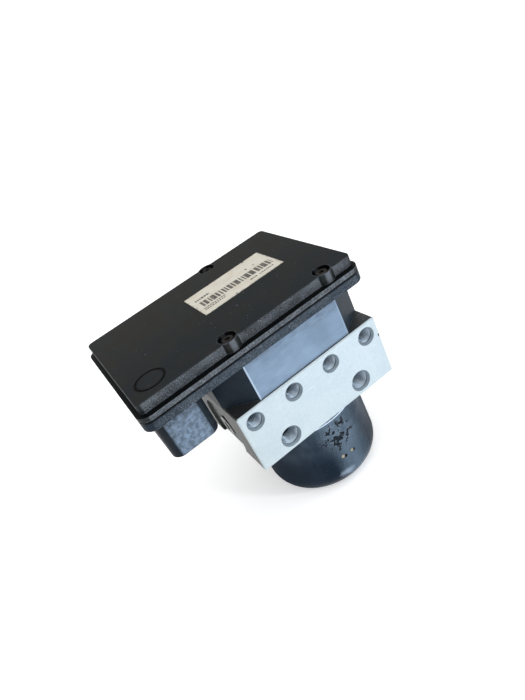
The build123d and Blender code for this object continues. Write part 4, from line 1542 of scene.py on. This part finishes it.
@dataclass
class ControlUnit:
    """The moulded housing with its board and its cover.

    Args:
        flange_bottom: Height of the underside of the housing's flange.
        flange_top: Height where the gap under the cover starts.
        cover_deck: Height under which the cover's level faces are sunk.
        ring: Middle and radius of the moulded ring on the cover.
        wells: Middle and radius of the well round each cover screw.
    """

    flange_bottom: float = 126.0
    flange_top: float = 131.2
    cover_deck: float = 140.6
    ring: Point = (-73.6, -25.9, 8.6)
    wells: tuple[Point, ...] = ((-31.3, -36.2, 5.2), (31.3, -36.2, 5.2), (1.5, 54.3, 5.2))

    def dress(self) -> None:
        """Finishes the housing, the cover, the board and the screws."""
        dress(
            MouldedPlastic(lit_below=self.flange_bottom, gap_above=self.flange_top),
            "ecu_housing",
        )
        dress(
            MouldedPlastic(
                "cover_plastic",
                clean=(0.008, 0.012, 0.015),
                warm=(0.017, 0.016, 0.013),
                dust=(0.21, 0.235, 0.27),
                wall_dust_and_light=0.85,
                level_dust=0.0,
                contrast=0.65,
                roughness=0.48,
                grain=0.015,
                shine=0.16,
                wells=self.wells,
                ring=self.ring,
                sunk_below=self.cover_deck,
            ),
            "ecu_cover",
        )
        dress(
            Metal(
                "dulled_zinc",
                tone=(0.30, 0.25, 0.20),
                tarnish=(0.10, 0.08, 0.06),
                spread=0.7,
                roughness=0.42,
                marks=0.02,
                turned=False,
            ),
            "motor_screws",
            "housing_screws",
        )
        dress(
            Metal(
                "blackened_zinc",
                tone=(0.07, 0.066, 0.062),
                tarnish=(0.03, 0.028, 0.025),
                spread=0.6,
                roughness=0.45,
                marks=0.02,
                turned=False,
            ),
            "cover_screws",
        )
        dress(Board(), "circuit_board")
        dress(
            Matt(
                "package_plastic",
                tone=(0.03, 0.03, 0.033),
                bloom=(0.10, 0.10, 0.10),
                bloom_share=0.3,
                roughness=0.45,
                grain=0.01,
            ),
            "board_components",
        )


@dataclass(frozen=True)
class Row:
    """One row of print along the label.

    Args:
        start: Where it starts, along x.
        end: Where it ends.
        middle: Its middle at the start, along y.
        height: How tall it is.
        drop: How far its middle has moved down at the end.
    """

    start: float
    end: float
    middle: float
    height: float
    drop: float = 0.0

    def mark(self, x: float, width: float) -> tuple[float, float, float, float]:
        """One mark of the row.

        Args:
            x: Where it starts.
            width: How wide it is, if the row is long enough.

        Returns:
            Its low x, low y, high x and high y.
        """
        middle = self.middle - self.drop * (x - self.start) / (self.end - self.start)
        half = self.height / 2
        return x, middle - half, min(x + width, self.end), middle + half


@dataclass
class Label:
    """The film on the cover, with fields of plain print.

    Args:
        level: The film's top face.
        lift: How far the print stands above it.
        bars: The row of plain bars along the middle.
        bar_widths: The widths that bars have.
        bar_gaps: The gaps between them.
        thinnest: The least that the last bar may be wide.
        dashes: The rows of short dashes at the ends.
        dash_width: The least and most that a dash is wide.
        dash_gap: The least and most between dashes.
        seed: What the random draws start from.
        finish: What the film wears.
    """

    level: float = 141.55
    lift: float = 0.02
    bars: Row = Row(-22.8, 26.2, 12.2, 7.4, 3.3)
    bar_widths: tuple[float, ...] = (0.9, 1.2, 1.5, 2.0, 2.8)
    bar_gaps: tuple[float, ...] = (0.7, 0.9, 1.1)
    thinnest: float = 0.2
    dashes: tuple[Row, ...] = (
        Row(-23.6, -13.6, 20.2, 2.3),
        Row(-24.0, -9.5, 5.6, 1.3),
        Row(-24.4, -10.5, 3.4, 1.3),
        Row(7.5, 12.2, 2.6, 1.4),
        Row(14.0, 24.0, 2.4, 1.3),
        Row(12.4, 13.9, 18.6, 2.0),
        Row(17.8, 19.0, 17.9, 1.2),
    )
    dash_width: Flat = (0.8, 1.7)
    dash_gap: Flat = (0.3, 0.55)
    seed: int = 7
    finish: Finish = LabelFilm()

    def marks(self) -> list[tuple[float, float, float, float]]:
        """Every bar and dash of the print.

        Returns:
            Low x, low y, high x and high y of each.
        """
        found = []
        draw = random.Random(self.seed)
        x = self.bars.start
        while x < self.bars.end - self.thinnest:
            width = draw.choice(self.bar_widths)
            found.append(self.bars.mark(x, width))
            x += width + draw.choice(self.bar_gaps)
        draw = random.Random(self.seed + 1)
        for row in self.dashes:
            x = row.start
            while x < row.end:
                width = draw.uniform(*self.dash_width)
                found.append(row.mark(x, width))
                x += width + draw.uniform(*self.dash_gap)
        return found

    def build(self) -> None:
        """Lays the print on the film."""
        points: list[Point] = []
        faces: list[tuple[int, ...]] = []
        level = self.level + self.lift
        for low_x, low_y, high_x, high_y in self.marks():
            first = len(points)
            points += [
                (low_x, low_y, level),
                (high_x, low_y, level),
                (high_x, high_y, level),
                (low_x, high_y, level),
            ]
            faces.append(tuple(range(first, first + 4)))
        piece("label_print", points, faces, Ink().material())

    def dress(self) -> None:
        """Finishes the film."""
        dress(self.finish, "blank_label")


# ---------------------------------------------------------------------- studio


@dataclass(frozen=True)
class BroadLight:
    """A broad soft light from far off.

    Args:
        name: Its name.
        way: The direction that it comes from.
        strength: What it gives to a face square to it.
        spread: How wide it looks, in degrees.
        tint: Its colour.
    """

    name: str
    way: Point
    strength: float
    spread: float
    tint: Colour = (1.0, 1.0, 1.0)

    def build(self) -> None:
        """Hangs the light."""
        lamp = bpy.data.lights.new(self.name, "SUN")
        lamp.energy = self.strength
        lamp.angle = math.radians(self.spread)
        lamp.color = self.tint
        hung = add_to_scene(bpy.data.objects.new(self.name, lamp))
        hung.rotation_euler = Vector(self.way).to_track_quat("Z", "Y").to_euler()


@dataclass(frozen=True)
class SoftBox:
    """One soft light close by, which the camera doesn't see.

    Args:
        name: Its name.
        middle: Where it hangs, in millimetres.
        aim: What it looks at.
        width: Its width.
        height: Its height.
        watts: Its power.
        tint: Its colour.
    """

    name: str
    middle: Point
    aim: Point
    width: float
    height: float
    watts: float
    tint: Colour

    def build(self) -> None:
        """Hangs the light."""
        lamp = bpy.data.lights.new(self.name, "AREA")
        lamp.shape = "RECTANGLE"
        lamp.size = self.width * MM
        lamp.size_y = self.height * MM
        lamp.energy = self.watts
        lamp.color = self.tint
        hung = add_to_scene(bpy.data.objects.new(self.name, lamp))
        hung.location = Vector(self.middle) * MM
        way = Vector(self.aim) - Vector(self.middle)
        hung.rotation_euler = way.to_track_quat("-Z", "Y").to_euler()
        hung.visible_camera = False


@dataclass(frozen=True)
class Camera:
    """The camera.

    Args:
        stand: Where it stands, in millimetres.
        aim: The point at the middle of its view.
        roll: How far it is rolled, in degrees.
        lens: Its focal length, in millimetres.
        sensor: How high its sensor is, in millimetres.
        range: The nearest and farthest that it sees, in metres.
    """

    stand: Point = (-91.06, -277.97, 273.49)
    aim: Point = (-6.53, 0.0, 99.95)
    roll: float = -27.42
    lens: float = 28.84
    sensor: float = 36.0
    range: Flat = (0.01, 50.0)

    def build(self) -> None:
        """Sets the camera up and looks through it."""
        lens = bpy.data.cameras.new("camera")
        lens.sensor_fit = "VERTICAL"
        lens.sensor_height = self.sensor
        lens.lens = self.lens
        lens.clip_start, lens.clip_end = self.range
        stand = Vector(self.stand) * MM
        back = (stand - Vector(self.aim) * MM).normalized()
        right = Vector((0.0, 0.0, 1.0)).cross(back).normalized()
        level = Matrix((right, back.cross(right), back)).transposed()
        turn = level @ Matrix.Rotation(math.radians(self.roll), 3, "Z")
        held = add_to_scene(bpy.data.objects.new("camera", lens))
        held.matrix_world = Matrix.Translation(stand) @ turn.to_4x4()
        bpy.context.scene.camera = held


@dataclass
class Studio:
    """The pale floor, the room, the soft lights and the camera.

    Args:
        floor_half: Half the floor's width, in millimetres.
        room_low: Brightness of the room round the floor's far edge.
        room_high: Brightness of the room above.
        room_fade: Between which heights the brightness changes, as the sine of the
            angle above the floor.
        lights: The lights.
        camera: The camera.
    """

    floor_half: float = 20000.0
    room_low: float = 1.0
    room_high: float = 0.25
    room_fade: Flat = (0.14, 0.30)
    lights: tuple[BroadLight | SoftBox, ...] = (
        BroadLight("overhead", way=(-0.05, -0.25, 0.97), strength=2.2, spread=80.0),
        BroadLight(
            "from_right",
            way=(0.55, -0.76, 0.34),
            strength=1.05,
            spread=8.0,
            tint=(0.86, 0.93, 1.0),
        ),
        SoftBox(
            "front_strip",
            middle=(45.0, -165.0, 34.0),
            aim=(0.0, -38.0, 112.0),
            width=170.0,
            height=60.0,
            watts=0.05,
            tint=(0.62, 0.80, 1.0),
        ),
    )
    camera: Camera = Camera()

    def build(self) -> None:
        """Sets the floor, the room, the lights and the camera."""
        self.floor()
        self.room()
        for light in self.lights:
            light.build()
        self.camera.build()
        bpy.context.scene.view_settings.view_transform = "Standard"
        log.info("the studio has %d lights", len(self.lights))

    def floor(self) -> None:
        """Lays the floor."""
        half = self.floor_half * MM
        corners = [(-half, -half, 0.0), (half, -half, 0.0), (half, half, 0.0), (-half, half, 0.0)]
        mesh = bpy.data.meshes.new("floor")
        mesh.from_pydata(corners, [], [(0, 1, 2, 3)])
        mesh.materials.append(Ground().material())
        add_to_scene(bpy.data.objects.new("floor", mesh))

    def room(self) -> None:
        """Paints the room: pale round the floor's far edge and dimmer above."""
        room = bpy.data.worlds.new("room")
        room.use_nodes = True
        nodes, links = room.node_tree.nodes, room.node_tree.links
        spot = nodes.new("ShaderNodeTexCoord")
        parts = nodes.new("ShaderNodeSeparateXYZ")
        fade = nodes.new("ShaderNodeMapRange")
        for key, value in (
            ("From Min", self.room_fade[0]),
            ("From Max", self.room_fade[1]),
            ("To Min", self.room_low),
            ("To Max", self.room_high),
        ):
            fade.inputs[key].default_value = value
        paint = nodes["Background"]
        paint.inputs["Color"].default_value = (1.0, 1.0, 1.0, 1.0)
        links.new(spot.outputs["Generated"], parts.inputs[0])
        links.new(parts.outputs["Z"], fade.inputs["Value"])
        links.new(fade.outputs[0], paint.inputs["Strength"])
        bpy.context.scene.world = room


def main() -> None:
    """Builds the studio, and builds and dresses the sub-assemblies."""
    logging.basicConfig(level=logging.INFO, format="%(name)s: %(message)s")
    Studio().build()
    block, label = HydraulicBlock(), Label()
    for made in (block, label):
        made.build()
    for dressed in (block, Motor(), ControlUnit(), label):
        dressed.dress()


if __name__ == "__main__":
    main()
